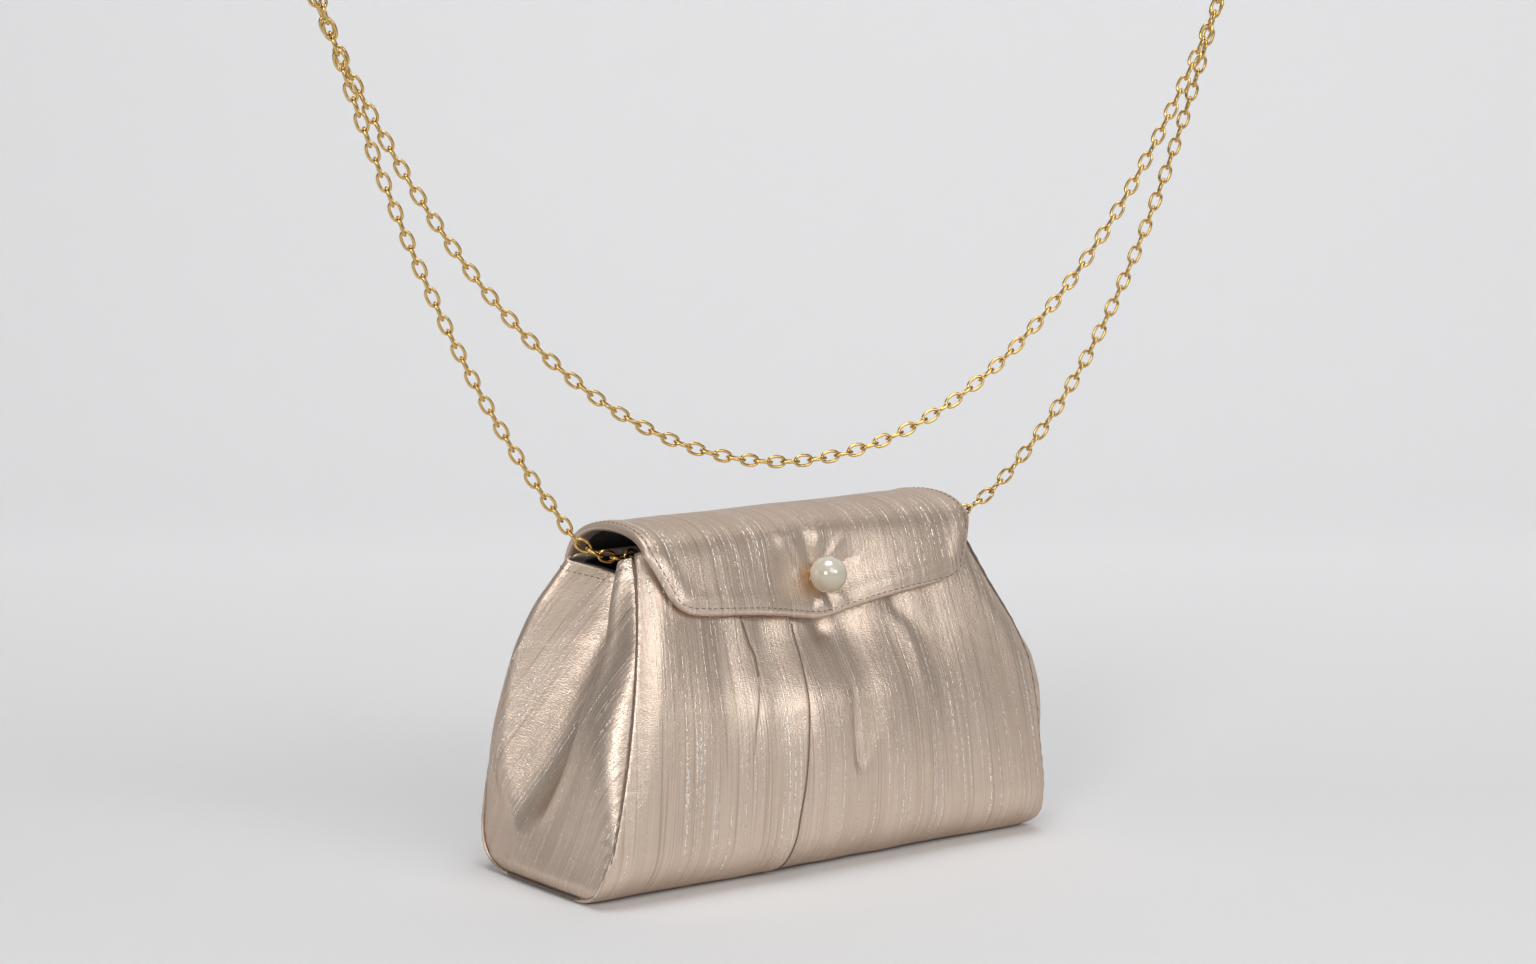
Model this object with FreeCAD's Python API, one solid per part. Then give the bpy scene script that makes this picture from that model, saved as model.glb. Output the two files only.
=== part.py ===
import FreeCAD, Part
import math
import os

V = FreeCAD.Vector

# All sizes are millimetres. X runs along the bag, -Y is its front and the floor is Z = 0.

# Outer form of the bag body
base_half_width = 110.0
mouth_half_width = 77.4
half_depth = 46.5
corner_radius = 22.0
front_height = 130.0
front_mouth_reach = 22.7
back_drop = 5.6
back_mouth_reach = 17.0

# Soft walls: bulge of the front and back, pinch under the closed flap, gathered pleats
front_bulge = 4.0
back_bulge = 2.0
mouth_pinch = 6.5
seam_flat = 7.0
pleat_depth = 1.6
pleat_width = 5.0
pleat_top_places = (-36.0, -14.0, 37.0)
pleat_foot_places = (-48.0, -27.0, 49.0)

# Cloth, boards and gaps
panel_thickness = 3.0
gusset_thickness = 2.0
lining_thickness = 0.6
base_board_thickness = 1.5
seam_gap = 0.3
layer_gap = 0.2

# Bellows fold of the two gussets
fold_depth = 18.0
fold_foot_height = 20.0
lobe_bulge = 8.0
lobe_foot_height = 10.0
lobe_top_drop = 18.0
lobe_place = 0.3
saddle_drop = 14.0
saddle_radius = 34.0

# Slip pocket on the back lining
pocket_half_width = 45.0
pocket_foot_height = 35.0
pocket_mouth_height = 95.0
pocket_thickness = 0.8

# Flap: an arch from its seam on the back, over the mouth and down the front
hinge_drop = 12.0
flap_half_width = 78.7
flap_lip_half_width = 68.9
flap_corner_hang = 21.7
flap_lip_hang = 32.2
flap_corner_run = 10.0
crest_rise = 8.3
crest_reach = 4.0
flap_back_standoff = 8.0
flap_cloth_thickness = 1.4
flap_board_thickness = 0.9
flap_seat_gap = 1.3
flap_dent = 4.5
flap_dent_width = 24.0
seam_strip_height = 9.0
seam_strip_thickness = 2.0
hinge_gap = 0.4

# Pearl closure and the flat magnets under it
pearl_diameter = 14.3
pearl_rise = 14.8
cup_radius = 5.3
cup_foot_radius = 3.2
cup_depth = 2.4
cup_wall = 0.5
post_radius = 0.8
post_depth = 5.0
post_clearance = 0.1
rivet_radius = 3.0
rivet_thickness = 0.8
magnet_radius = 5.0
magnet_thickness = 1.0
magnet_rise = 5.6
seat_gap = 0.4
washer_radius = 6.5
washer_thickness = 0.5

# Chain: oval links of round wire, and the small rings and tabs that hold its ends
link_length = 8.3
link_width = 5.2
link_wire = 1.2
link_play = 0.1
mouth_links = 6
left_mouth_turn = 62.0
right_mouth_turn = 42.0
strand_slack = 0.002
loop_length = 585.8
left_support_reach = V(-141.4, 10.2, 229.5)
right_support_reach = V(128.0, -54.5, 225.1)
left_support_turn = 45.0
right_support_turn = 14.0
turn_out_links = 6
face_azimuth = 36.65
ring_radius = 3.0
d_ring_arm = 7.0
d_ring_half_width = 4.6
d_ring_wire = 1.4
d_ring_slack = 0.9
tab_half_width = 3.2
tab_thickness = 1.2
tab_length = 22.0
tab_bar_rise = 8.5
pin_clearance = 0.08

# Sampling of the lofted forms
across_points = 25
flap_stations = 15

# Heights that follow from these
back_height = front_height - back_drop
saddle_height = front_height - saddle_drop
tab_bar_height = saddle_height + tab_bar_rise
crest_z = front_height + crest_rise
flap_corner_height = front_height - flap_corner_hang
flap_lip_height = front_height - flap_lip_hang
pearl_height = flap_lip_height + pearl_rise
magnet_height = flap_lip_height + magnet_rise


def half_width(z):
    return base_half_width - (base_half_width - mouth_half_width) * z / front_height


def ramp(value, low, high):
    t = min(max((value - low) / (high - low), 0.0), 1.0)
    return t * t * (3.0 - 2.0 * t)


class Wall:
    """Side outline of the front or back: a rounded foot and one long arc up to the mouth."""

    def __init__(self, side, height, reach, bulge, pinch):
        self.side = side
        self.height = height
        self.bulge = bulge
        self.pinch = pinch
        rise = height - corner_radius
        lean = half_depth - reach
        self.arc = (rise * rise + lean * lean) / (2.0 * lean)
        self.sweep = math.asin(rise / self.arc)

    def foot(self, angle):
        """Point and outward normal on the rounded foot, angle 0 on the floor to a quarter turn."""
        y = half_depth - corner_radius + corner_radius * math.sin(angle)
        z = corner_radius - corner_radius * math.cos(angle)
        return V(0, self.side * y, z), V(0, self.side * math.sin(angle), -math.cos(angle))

    def rise(self, angle):
        y = half_depth - self.arc + self.arc * math.cos(angle)
        z = corner_radius + self.arc * math.sin(angle)
        return V(0, self.side * y, z), V(0, self.side * math.cos(angle), math.sin(angle))

    def at_height(self, z, inset=0.0):
        """Point and normal where the wall, moved inwards by inset, passes height z."""
        if z < corner_radius:
            angle = math.acos((corner_radius - z) / (corner_radius - inset))
            y = half_depth - corner_radius + (corner_radius - inset) * math.sin(angle)
            return V(0, self.side * y, z), V(0, self.side * math.sin(angle), -math.cos(angle))
        y = half_depth - self.arc + math.sqrt((self.arc - inset) ** 2 - (z - corner_radius) ** 2)
        angle = math.asin((z - corner_radius) / (self.arc - inset))
        return V(0, self.side * y, z), V(0, self.side * math.cos(angle), math.sin(angle))

    def stations(self, low=None, high=None):
        """Points up the wall, over its whole outline or between two heights."""
        if low is not None:
            steps = 5
            return [self.at_height(low + (high - low) * i / steps) for i in range(steps + 1)]
        foot_steps = 4
        rise_steps = 8
        quarter = math.pi / 2.0
        lower = [self.foot(quarter * i / foot_steps) for i in range(foot_steps)]
        upper = [self.rise(self.sweep * i / rise_steps) for i in range(rise_steps + 1)]
        return lower + upper

    def crown(self, x, z):
        """How far the cloth stands out of the seam line: full low down, drawn in at the mouth."""
        across = (1.0 - min(abs(x) / (half_width(z) - seam_flat), 1.0) ** 2) ** 2
        swell = self.bulge * math.sin(math.pi * min(z / (0.8 * self.height), 1.0)) ** 2
        draw = self.pinch * ramp(z, 0.5 * self.height, magnet_height - washer_radius)
        return across * (swell - draw)


front = Wall(-1, front_height, front_mouth_reach, front_bulge, mouth_pinch)
back = Wall(1, back_height, back_mouth_reach, back_bulge, 0.0)


def pleats(x, z):
    """Depth of the gathers that run down the front from under the flap."""
    rise = z / front_height
    fade = ramp(rise, 0.03, 0.35) * (1.0 - ramp(rise, 0.6, 0.76))
    depth = 0.0
    for top, foot in zip(pleat_top_places, pleat_foot_places):
        place = foot + (top - foot) * rise
        depth += pleat_depth * fade * math.exp(-((x - place) / pleat_width) ** 2)
    return depth


def curve(points):
    spline = Part.BSplineCurve()
    spline.interpolate(Points=points, Parameters=[i / (len(points) - 1.0) for i in range(len(points))])
    return spline.toShape()


def strip(outer, inner):
    """Closed thin section between two curves that run the same way."""
    edges = [
        curve(outer),
        Part.makeLine(outer[-1], inner[-1]),
        curve(inner[::-1]),
        Part.makeLine(inner[0], outer[0]),
    ]
    return Part.Wire(edges)


def loft(wires):
    return Part.makeLoft(wires, True, False)


def wall_sheet(wall, outer_inset, thickness, edge_inset=0.0, pleated=False, span=None, width=None):
    """A sheet of cloth that follows a wall, from outer_inset inwards by its thickness."""
    wires = []
    for point, normal in wall.stations(*(span or ())):
        reach = width if width else half_width(point.z) - edge_inset
        outer = []
        inner = []
        for i in range(across_points):
            x = reach * (2.0 * i / (across_points - 1) - 1.0)
            stand = wall.crown(x, point.z) - outer_inset
            fold = pleats(x, point.z) if pleated else 0.0
            outer.append(point + V(x, 0, 0) + normal * (stand - fold))
            inner.append(point + V(x, 0, 0) + normal * (stand - thickness))
        wires.append(strip(outer, inner))
    return loft(wires)


def gusset_line(z, inset):
    """One height of the left gusset's outer face: seam, lobe, inward fold, lobe, seam."""
    near = front.at_height(z, gusset_inset)[0].y
    far = back.at_height(z, gusset_inset)[0].y
    grow = (max(z - fold_foot_height, 0.0) / (saddle_height - fold_foot_height)) ** 1.4
    rise = (z - lobe_foot_height) / (front_height - lobe_top_drop - lobe_foot_height)
    swell = lobe_bulge * math.sin(math.pi * min(max(rise, 0.0), 1.0)) ** 2
    points = []
    steps = 16
    for i in range(steps + 1):
        place = 2.0 * i / steps - 1.0
        y = 0.5 * (near + far) + 0.5 * (far - near) * place
        tuck = fold_depth * grow * math.cos(0.5 * math.pi * place) ** 2
        from_seam = (1.0 - abs(place)) / lobe_place
        lobe = swell * from_seam * math.exp(1.0 - from_seam) * math.sin(0.5 * math.pi * place) ** 2
        points.append(V(-(half_width(z) - inset - tuck + lobe), y, z))
    return points


def gusset_sheet(outer_inset, thickness, foot):
    top = min(back_height, front_height) - seam_gap
    rise_steps = 9
    heights = [foot, 0.5 * foot + 0.25 * corner_radius, 0.65 * corner_radius]
    heights += [corner_radius + (top - corner_radius) * i / rise_steps for i in range(rise_steps + 1)]
    wires = [strip(gusset_line(z, outer_inset), gusset_line(z, outer_inset + thickness)) for z in heights]
    saddle = Part.makeCylinder(
        saddle_radius, 4.0 * base_half_width,
        V(-2.0 * base_half_width, valley_y, saddle_height + saddle_radius), V(1, 0, 0))
    return loft(wires).cut(saddle)


def mirrored(shape):
    return shape.mirror(V(0, 0, 0), V(1, 0, 0))


def bar(x_half, y_low, y_high, z_low, z_high):
    return Part.makeBox(2.0 * x_half, y_high - y_low, z_high - z_low, V(-x_half, y_low, z_low))


def round_wire(corners, plane_normal, radius, sides=4):
    """Closed wire of even section bent round the corners of a flat outline, mitred at each."""
    count = len(corners)
    rings = []
    for i in range(count):
        before = (corners[i] - corners[i - 1]).normalize()
        after = (corners[(i + 1) % count] - corners[i]).normalize()
        mitre = before.cross(plane_normal) + after.cross(plane_normal)
        mitre.normalize()
        mitre = mitre * (radius / mitre.dot(before.cross(plane_normal)))
        lift = plane_normal * radius
        turns = [2.0 * math.pi * j / sides for j in range(sides)]
        rings.append([corners[i] + mitre * math.cos(t) + lift * math.sin(t) for t in turns])
    faces = []
    for i in range(count):
        here = rings[i]
        there = rings[(i + 1) % count]
        for j in range(sides):
            k = (j + 1) % sides
            faces.append(Part.Face(Part.makePolygon([here[j], there[j], there[k], here[k], here[j]])))
    shell = Part.Shell(faces)
    shell.sewShape()
    solid = Part.Solid(shell)
    return solid if solid.Volume > 0 else solid.reversed()


def oval(half_long, half_short):
    """Eight corners of an oval link's centre line in the XY plane."""
    end = half_short * math.tan(math.pi / 8.0)
    side = half_long - (half_short - end)
    quarter = [V(half_long, end, 0), V(side, half_short, 0)]
    upper = quarter + [V(-p.x, p.y, 0) for p in quarter[::-1]]
    return upper + [V(-p.x, -p.y, 0) for p in upper]


def placed(shape, centre, along, face):
    """Copy of a shape whose X runs along and whose Z faces the given way."""
    across = face.cross(along)
    turn = FreeCAD.Matrix(
        along.x, across.x, face.x, centre.x,
        along.y, across.y, face.y, centre.y,
        along.z, across.z, face.z, centre.z,
        0, 0, 0, 1)
    copy = shape.copy()
    copy.Placement = FreeCAD.Placement(turn)
    return copy


# Places that the pieces share
pitch = link_length - 2.0 * link_wire - link_play
gusset_inset = panel_thickness + 2.0 * seam_gap
valley_y = 0.5 * (
    front.at_height(saddle_height, gusset_inset)[0].y
    + back.at_height(saddle_height, gusset_inset)[0].y)
base_half_depth = half_depth - corner_radius - seam_gap
lining_inset = gusset_thickness + lining_thickness + 4.0 * seam_gap
flap_thickness = flap_cloth_thickness + flap_board_thickness + lining_thickness + 2.0 * layer_gap
hinge_z = back_height - hinge_drop
back_at_hinge = back.at_height(hinge_z)[0].y
hinge_y = back_at_hinge + seam_strip_thickness + 2.0 * layer_gap + flap_thickness / 2.0

# Front, back, base and their linings
base_lining_foot = panel_thickness + base_board_thickness + 2.0 * layer_gap
parts = {
    "front_panel": wall_sheet(front, 0.0, panel_thickness, pleated=True),
    "back_panel": wall_sheet(back, 0.0, panel_thickness),
    "base_panel": bar(base_half_width, -base_half_depth, base_half_depth, 0.0, panel_thickness),
    "base_board": bar(
        base_half_width - lining_inset, -base_half_depth, base_half_depth,
        panel_thickness + layer_gap, panel_thickness + layer_gap + base_board_thickness),
    "base_lining": bar(
        base_half_width - lining_inset, -base_half_depth, base_half_depth,
        base_lining_foot, base_lining_foot + lining_thickness),
    "front_lining": wall_sheet(front, panel_thickness + layer_gap, lining_thickness, lining_inset),
    "back_lining": wall_sheet(back, panel_thickness + layer_gap, lining_thickness, lining_inset),
    "inner_pocket": wall_sheet(
        back, panel_thickness + lining_thickness + 2.0 * layer_gap, pocket_thickness,
        span=(pocket_foot_height, pocket_mouth_height), width=pocket_half_width),
}

# Gussets with their bellows fold
left_gusset = gusset_sheet(0.0, gusset_thickness, gusset_inset)
left_gusset_lining = gusset_sheet(
    gusset_thickness + layer_gap, lining_thickness, base_lining_foot + lining_thickness + seam_gap)
parts["left_gusset"] = left_gusset
parts["right_gusset"] = mirrored(left_gusset)
parts["left_gusset_lining"] = left_gusset_lining
parts["right_gusset_lining"] = mirrored(left_gusset_lining)


# Flap outline, seen from the side; its front lies at an even distance from the front panel
flap_stand = flap_thickness + flap_seat_gap


def flap_outline():
    points = [V(0, hinge_y + flap_thickness / 2.0, hinge_z)]
    top, normal = back.rise(back.sweep)
    points.append(top + normal * flap_back_standoff)
    points.append(V(0, -crest_reach, crest_z))
    for z in (front_height, pearl_height, magnet_height, flap_lip_height):
        spot, normal = front.at_height(z)
        points.append(spot + normal * flap_stand)
    down = V(0, -normal.z, normal.y)
    spline = Part.BSplineCurve()
    spline.interpolate(Points=points, InitialTangent=V(0, 0, 1), FinalTangent=down)
    return spline


flap_line = flap_outline()


def flap_reach(point):
    """Half the flap's width: widest over the mouth, narrower towards the lip."""
    if point.y > 0:
        return flap_half_width
    taper = max(front_height - point.z, 0.0) / (front_height - flap_corner_height)
    return flap_half_width - (flap_half_width - flap_lip_half_width) * taper


def flap_spot(t):
    point = flap_line.value(t)
    tangent = flap_line.tangent(t)[0]
    return point, V(0, tangent.z, -tangent.y)


def lip_prism():
    """What stays of the front of the flap: a lip that dips to its middle, with round corners."""
    def corner_spot(inward, upward):
        x = flap_lip_half_width - inward * flap_corner_run
        return V(-x, 0, flap_corner_height + upward * flap_corner_run)

    corner = corner_spot(1.0, -0.12)
    bend = corner_spot(0.27, 0.09)
    shoulder = corner_spot(-0.2, 0.7)
    far = 2.0 * base_half_width
    right = [V(-p.x, 0, p.z) for p in (corner, bend, shoulder)]
    edges = [
        Part.Arc(shoulder, bend, corner).toShape(),
        Part.Arc(corner, V(0, 0, flap_lip_height), right[0]).toShape(),
        Part.Arc(right[0], right[1], right[2]).toShape(),
        Part.makeLine(right[2], V(far, 0, front_height)),
        Part.makeLine(V(far, 0, front_height), V(far, 0, far)),
        Part.makeLine(V(far, 0, far), V(-far, 0, far)),
        Part.makeLine(V(-far, 0, far), V(-far, 0, front_height)),
        Part.makeLine(V(-far, 0, front_height), shoulder),
    ]
    face = Part.Face(Part.Wire(edges))
    ahead = face.extrude(V(0, -far, 0))
    behind = bar(far, 0.0, far, 0.0, far)
    return ahead.fuse(behind)


def dent(x, point):
    """How far the pearl closure draws the front of the flap in."""
    if point.y > 0:
        return 0.0
    drawn = ramp(crest_z - point.z, 0.0, crest_z - pearl_height - cup_radius)
    return flap_dent * drawn * math.exp(-(x / flap_dent_width) ** 2)


def flap_sheet(outer_inset, thickness, edge_inset):
    first = flap_line.FirstParameter
    last = flap_line.LastParameter
    wires = []
    for i in range(flap_stations):
        point, normal = flap_spot(first + (last - first) * i / (flap_stations - 1))
        reach = flap_reach(point) - edge_inset
        outer = []
        inner = []
        for j in range(across_points):
            x = reach * (2.0 * j / (across_points - 1) - 1.0)
            spot = point + V(x, 0, 0) - normal * (outer_inset + dent(x, point))
            outer.append(spot)
            inner.append(spot - normal * thickness)
        wires.append(strip(outer, inner))
    return loft(wires)


lip = lip_prism()
board_inset = flap_cloth_thickness + layer_gap
flap_lining_inset = board_inset + flap_board_thickness + layer_gap
board_margin = 4.0


# Pearl, its cup and its rivet, set square to the flap
pearl_spot, pearl_axis = front.at_height(pearl_height)
pearl_foot = pearl_spot + pearl_axis * (flap_stand - flap_dent)
pearl_radius = pearl_diameter / 2.0
cup_foot = pearl_foot + pearl_axis * seat_gap
pearl_centre = cup_foot + pearl_axis * (cup_wall + post_clearance + pearl_radius)
pearl_ball = Part.makeSphere(pearl_radius, pearl_centre)
seat_radius = pearl_radius + post_clearance
cup_blank = Part.makeCone(cup_foot_radius, cup_radius, cup_depth, cup_foot, pearl_axis)
cup = cup_blank.cut(Part.makeSphere(seat_radius, pearl_centre))
post_foot = pearl_foot - pearl_axis * (flap_thickness + seat_gap)
post_top = pearl_centre + pearl_axis * (post_depth - pearl_radius)
post_length = (post_top - post_foot).Length
post = Part.makeCylinder(post_radius, post_length, post_foot, pearl_axis)
rivet = Part.makeCylinder(rivet_radius, rivet_thickness, post_foot, pearl_axis * -1.0)
post = post.fuse(rivet).removeSplitter()
bore = Part.makeCylinder(
    post_radius + post_clearance, post_length + post_clearance + rivet_thickness,
    post_foot - pearl_axis * rivet_thickness, pearl_axis)
parts["pearl"] = pearl_ball.cut(bore)
parts["pearl_cup"] = cup.cut(bore)
parts["pearl_post"] = post

# Flat magnets: one under the flap, one on the front, each held by a washer behind the cloth
magnet_spot, magnet_axis = front.at_height(magnet_height)
flap_seat = magnet_spot + magnet_axis * (flap_seat_gap - flap_dent - seat_gap)
parts["flap_magnet"] = Part.makeCylinder(magnet_radius, magnet_thickness, flap_seat, magnet_axis * -1.0)
front_face = magnet_spot + magnet_axis * front.crown(0.0, magnet_height)
parts["front_magnet"] = Part.makeCylinder(
    magnet_radius, magnet_thickness, front_face + magnet_axis * seat_gap, magnet_axis)
washer_seat = front_face - magnet_axis * (panel_thickness + layer_gap + lining_thickness + seat_gap)
parts["magnet_washer"] = Part.makeCylinder(washer_radius, washer_thickness, washer_seat, magnet_axis * -1.0)

# Flap layers; the cloth is rolled round the end of the others along the hinge
rolled_seam = Part.makeCylinder(
    flap_thickness / 2.0, 2.0 * flap_half_width, V(-flap_half_width, hinge_y, hinge_z), V(1, 0, 0))
rolled_seam = rolled_seam.common(bar(flap_half_width, 0.0, 2.0 * half_depth, 0.0, hinge_z))
flap_cloth = flap_sheet(0.0, flap_cloth_thickness, 0.0).common(lip).cut(bore)
parts["flap_cloth"] = flap_cloth.fuse(rolled_seam)
parts["flap_board"] = flap_sheet(board_inset, flap_board_thickness, board_margin).common(lip).cut(bore)
flap_lining = flap_sheet(flap_lining_inset, lining_thickness, 0.5 * board_margin)
parts["flap_lining"] = flap_lining.common(lip).cut(bore)

# The strip on the back that the flap is sewn to, just under its hinge line
strip_head = hinge_z - flap_thickness / 2.0 - hinge_gap
strip_foot = strip_head - seam_strip_height
strip_corners = []
for z, lift in ((strip_head, 0.0), (strip_head, 1.0), (strip_foot, 1.0), (strip_foot, 0.0)):
    y = back.at_height(z)[0].y + layer_gap + lift * seam_strip_thickness
    strip_corners.append(V(0, y, z))
strip_face = Part.Face(Part.makePolygon(strip_corners + strip_corners[:1]))
strip_half = flap_half_width - seam_strip_thickness
strip_solid = strip_face.extrude(V(2.0 * strip_half, 0, 0))
strip_solid.translate(V(-strip_half, 0, 0))
parts["flap_seam_strip"] = strip_solid

# Tabs and D-rings in the gusset folds, left side first
valley_x = -(half_width(saddle_height) - fold_depth - gusset_thickness - lining_thickness - layer_gap)
tab_outer_x = valley_x + seam_gap
pin_radius = d_ring_wire / 2.0
tube_radius = pin_radius + pin_clearance + tab_thickness
bar_x = tab_outer_x + tab_thickness - tube_radius
bar_centre = V(bar_x, valley_y, tab_bar_height)
tube = Part.makeCylinder(
    tube_radius, 2.0 * tab_half_width, V(bar_x, valley_y - tab_half_width, tab_bar_height), V(0, 1, 0))
tongue = Part.makeBox(
    tab_thickness, 2.0 * tab_half_width, tab_length,
    V(tab_outer_x, valley_y - tab_half_width, tab_bar_height - tab_length))
pin_bore = Part.makeCylinder(
    pin_radius + pin_clearance, 4.0 * tab_half_width,
    V(bar_x, valley_y - 2.0 * tab_half_width, tab_bar_height), V(0, 1, 0))
left_tab = tube.fuse(tongue).removeSplitter().cut(pin_bore)

d_ring_bow = d_ring_half_width * math.sin(math.pi / 4.0)
d_ring_corners = [
    V(0, d_ring_half_width, 0),
    V(-(d_ring_arm - d_ring_half_width + d_ring_half_width * 0.35), d_ring_half_width, 0),
    V(-(d_ring_arm - 0.3 * d_ring_half_width), d_ring_bow, 0),
    V(-d_ring_arm, 0.4 * d_ring_half_width, 0),
    V(-d_ring_arm, -0.4 * d_ring_half_width, 0),
    V(-(d_ring_arm - 0.3 * d_ring_half_width), -d_ring_bow, 0),
    V(-(d_ring_arm - d_ring_half_width + d_ring_half_width * 0.35), -d_ring_half_width, 0),
    V(0, -d_ring_half_width, 0),
]
d_ring = round_wire(d_ring_corners, V(0, 0, 1), pin_radius, 8)
left_d_ring = d_ring.copy()
left_d_ring.translate(bar_centre)
parts["left_strap_tab"] = left_tab
parts["right_strap_tab"] = mirrored(left_tab)
parts["left_d_ring"] = left_d_ring
parts["right_d_ring"] = mirrored(left_d_ring)


# Chain
def hang(start, end, count):
    """Pivots of count links that hang free between two points: a catenary, stepped by its length."""
    length = count * pitch
    run = math.hypot(end.x - start.x, end.y - start.y)
    rise = end.z - start.z
    target = math.sqrt(length * length - rise * rise)
    low = run / 40.0
    high = run * 1000.0
    for _ in range(200):
        sag = math.sqrt(low * high)
        if 2.0 * sag * math.sinh(run / (2.0 * sag)) > target:
            low = sag
        else:
            high = sag
    middle = run / 2.0 - sag * math.atanh(rise / length)
    pivots = []
    for i in range(count + 1):
        place = middle + sag * math.asinh(i * pitch / sag + math.sinh(-middle / sag))
        lift = sag * (math.cosh((place - middle) / sag) - math.cosh(middle / sag))
        share = place / run
        pivots.append(V(
            start.x + (end.x - start.x) * share, start.y + (end.y - start.y) * share, start.z + lift))
    return pivots


def level(vector):
    flat = V(vector.x, vector.y, 0)
    return flat.normalize()


def lead_out(start, heading, turn):
    """Pivots of the links that lie over the hem, from level at the ring to the strand's slope."""
    pivots = [start]
    for i in range(mouth_links):
        angle = math.radians(turn * (i + 0.5) / mouth_links)
        pivots.append(pivots[-1] + (heading * math.cos(angle) + V(0, 0, math.sin(angle))) * pitch)
    return pivots


link_corners = oval((link_length - link_wire) / 2.0, (link_width - link_wire) / 2.0)
link = round_wire(link_corners, V(0, 0, 1), link_wire / 2.0)
viewer = V(-math.sin(math.radians(face_azimuth)), -math.cos(math.radians(face_azimuth)), 0)


def support_heading(turn):
    """Level direction of a support's link, turned aside from the way that the bag is looked at."""
    aside = V(0, 0, 1).cross(viewer)
    return viewer * math.cos(math.radians(turn)) + aside * math.sin(math.radians(turn))


def links_between(pivots, start_heading, end_heading):
    """Links from pivot to pivot, every other one turned a quarter, counted away from a support's link."""
    solids = []
    last = len(pivots) - 2
    for i in range(last + 1):
        step = pivots[i + 1] - pivots[i]
        along = V(step).normalize()
        if end_heading is None or (start_heading is not None and i < last - i):
            away, heading = i, start_heading
        else:
            away, heading = last - i, end_heading
        turn = min(away / float(turn_out_links), 1.0)
        face = heading * (1.0 - turn) + viewer * turn
        face = (face - along * face.dot(along)).normalize()
        if away % 2 == 0:
            face = along.cross(face)
        solids.append(placed(link, pivots[i] + step * 0.5, along, face))
    return solids


def support_link(centre, heading):
    """The one link that lies level on a support, with the pivots of the links on its near and far ends."""
    half = heading * ((link_length - link_wire) / 2.0)
    rest = V(0, 0, wire_step)
    return placed(link, centre, heading, V(0, 0, 1)), centre + half + rest, centre - half + rest


def links_to_span(start, end):
    """Fewest links that reach between two points with a little slack, odd with the mouth links."""
    count = int(math.ceil((end - start).Length * (1.0 + strand_slack) / pitch))
    return count + (count + mouth_links + 1) % 2


wire_step = (link_wire + link_play) / 2.0
left_support = bar_centre + left_support_reach
right_support = V(-bar_x, valley_y, tab_bar_height) + right_support_reach
left_heading = support_heading(left_support_turn)
right_heading = support_heading(right_support_turn)
left_top, left_strand_top, loop_start = support_link(left_support, left_heading)
right_top, loop_end, right_strand_top = support_link(right_support, right_heading)
ring_flat = ring_radius * math.cos(math.pi / 8.0)
ring_shift = d_ring_arm + d_ring_slack + ring_flat - wire_step
ring_corners = [
    V(ring_radius * math.cos(math.pi * (i + 0.5) / 4.0), ring_radius * math.sin(math.pi * (i + 0.5) / 4.0), 0)
    for i in range(8)
]
end_ring = round_wire(ring_corners, V(0, 0, 1), link_wire / 2.0)
for name, side, top, turn, over, heading in (
        ("left", -1.0, left_strand_top, left_mouth_turn, left_top, left_heading),
        ("right", 1.0, right_strand_top, right_mouth_turn, right_top, right_heading)):
    outward = V(side, 0, 0)
    pin_place = V(-side * bar_x, valley_y, tab_bar_height)
    first = pin_place + outward * ring_shift
    ring_centre = pin_place + outward * (d_ring_arm + d_ring_slack)
    parts[name + "_end_ring"] = placed(end_ring, ring_centre, outward, V(0, -1, 0))
    run_out = lead_out(first, level(top - first), turn)
    count = links_to_span(run_out[-1], top)
    strand = run_out[:-1] + hang(run_out[-1], top, count)
    parts[name + "_chain_strand"] = Part.Compound(links_between(strand, None, heading) + [over])
    print(name, "strand", count, "links, reach", round((top - run_out[-1]).Length, 1), "of", count * pitch)
middle_link = int(0.5 * loop_length / pitch)
loop_links = 2 * middle_link + 1
loop = links_between(hang(loop_start, loop_end, loop_links), left_heading, right_heading)
parts["chain_loop_left"] = Part.Compound(loop[:middle_link])
parts["chain_loop_right"] = Part.Compound(loop[middle_link:])

os.makedirs("parts", exist_ok=True)
for node, shape in parts.items():
    shape.exportStep("parts/" + node + ".step")
    print(node, "valid" if shape.isValid() else "NOT VALID", len(shape.Solids), round(shape.Volume, 1))
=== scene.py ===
import collections
import math

import bmesh
import bpy
import numpy as np
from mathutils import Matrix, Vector


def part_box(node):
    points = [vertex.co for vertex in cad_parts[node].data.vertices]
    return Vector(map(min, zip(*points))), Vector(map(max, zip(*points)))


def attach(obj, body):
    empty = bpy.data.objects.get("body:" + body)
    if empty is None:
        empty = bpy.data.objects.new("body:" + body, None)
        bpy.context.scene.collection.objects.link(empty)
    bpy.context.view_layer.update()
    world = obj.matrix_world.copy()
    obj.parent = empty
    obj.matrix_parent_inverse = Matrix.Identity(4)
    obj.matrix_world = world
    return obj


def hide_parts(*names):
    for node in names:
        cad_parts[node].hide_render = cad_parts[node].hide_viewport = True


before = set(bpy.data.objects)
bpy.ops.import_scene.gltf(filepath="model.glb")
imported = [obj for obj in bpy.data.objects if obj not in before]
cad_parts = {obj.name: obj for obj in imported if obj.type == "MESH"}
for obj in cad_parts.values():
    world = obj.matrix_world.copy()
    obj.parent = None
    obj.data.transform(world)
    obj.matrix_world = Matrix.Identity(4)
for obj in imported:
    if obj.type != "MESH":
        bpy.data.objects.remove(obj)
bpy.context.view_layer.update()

scene = bpy.context.scene
MM = 0.001
TINY = 1e-9
SIGN = {"left": -1.0, "right": 1.0}
RIGHTWARD = np.array([1.0, 0.0, 0.0])
UPWARD = np.array([0.0, 0.0, 1.0])

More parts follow.
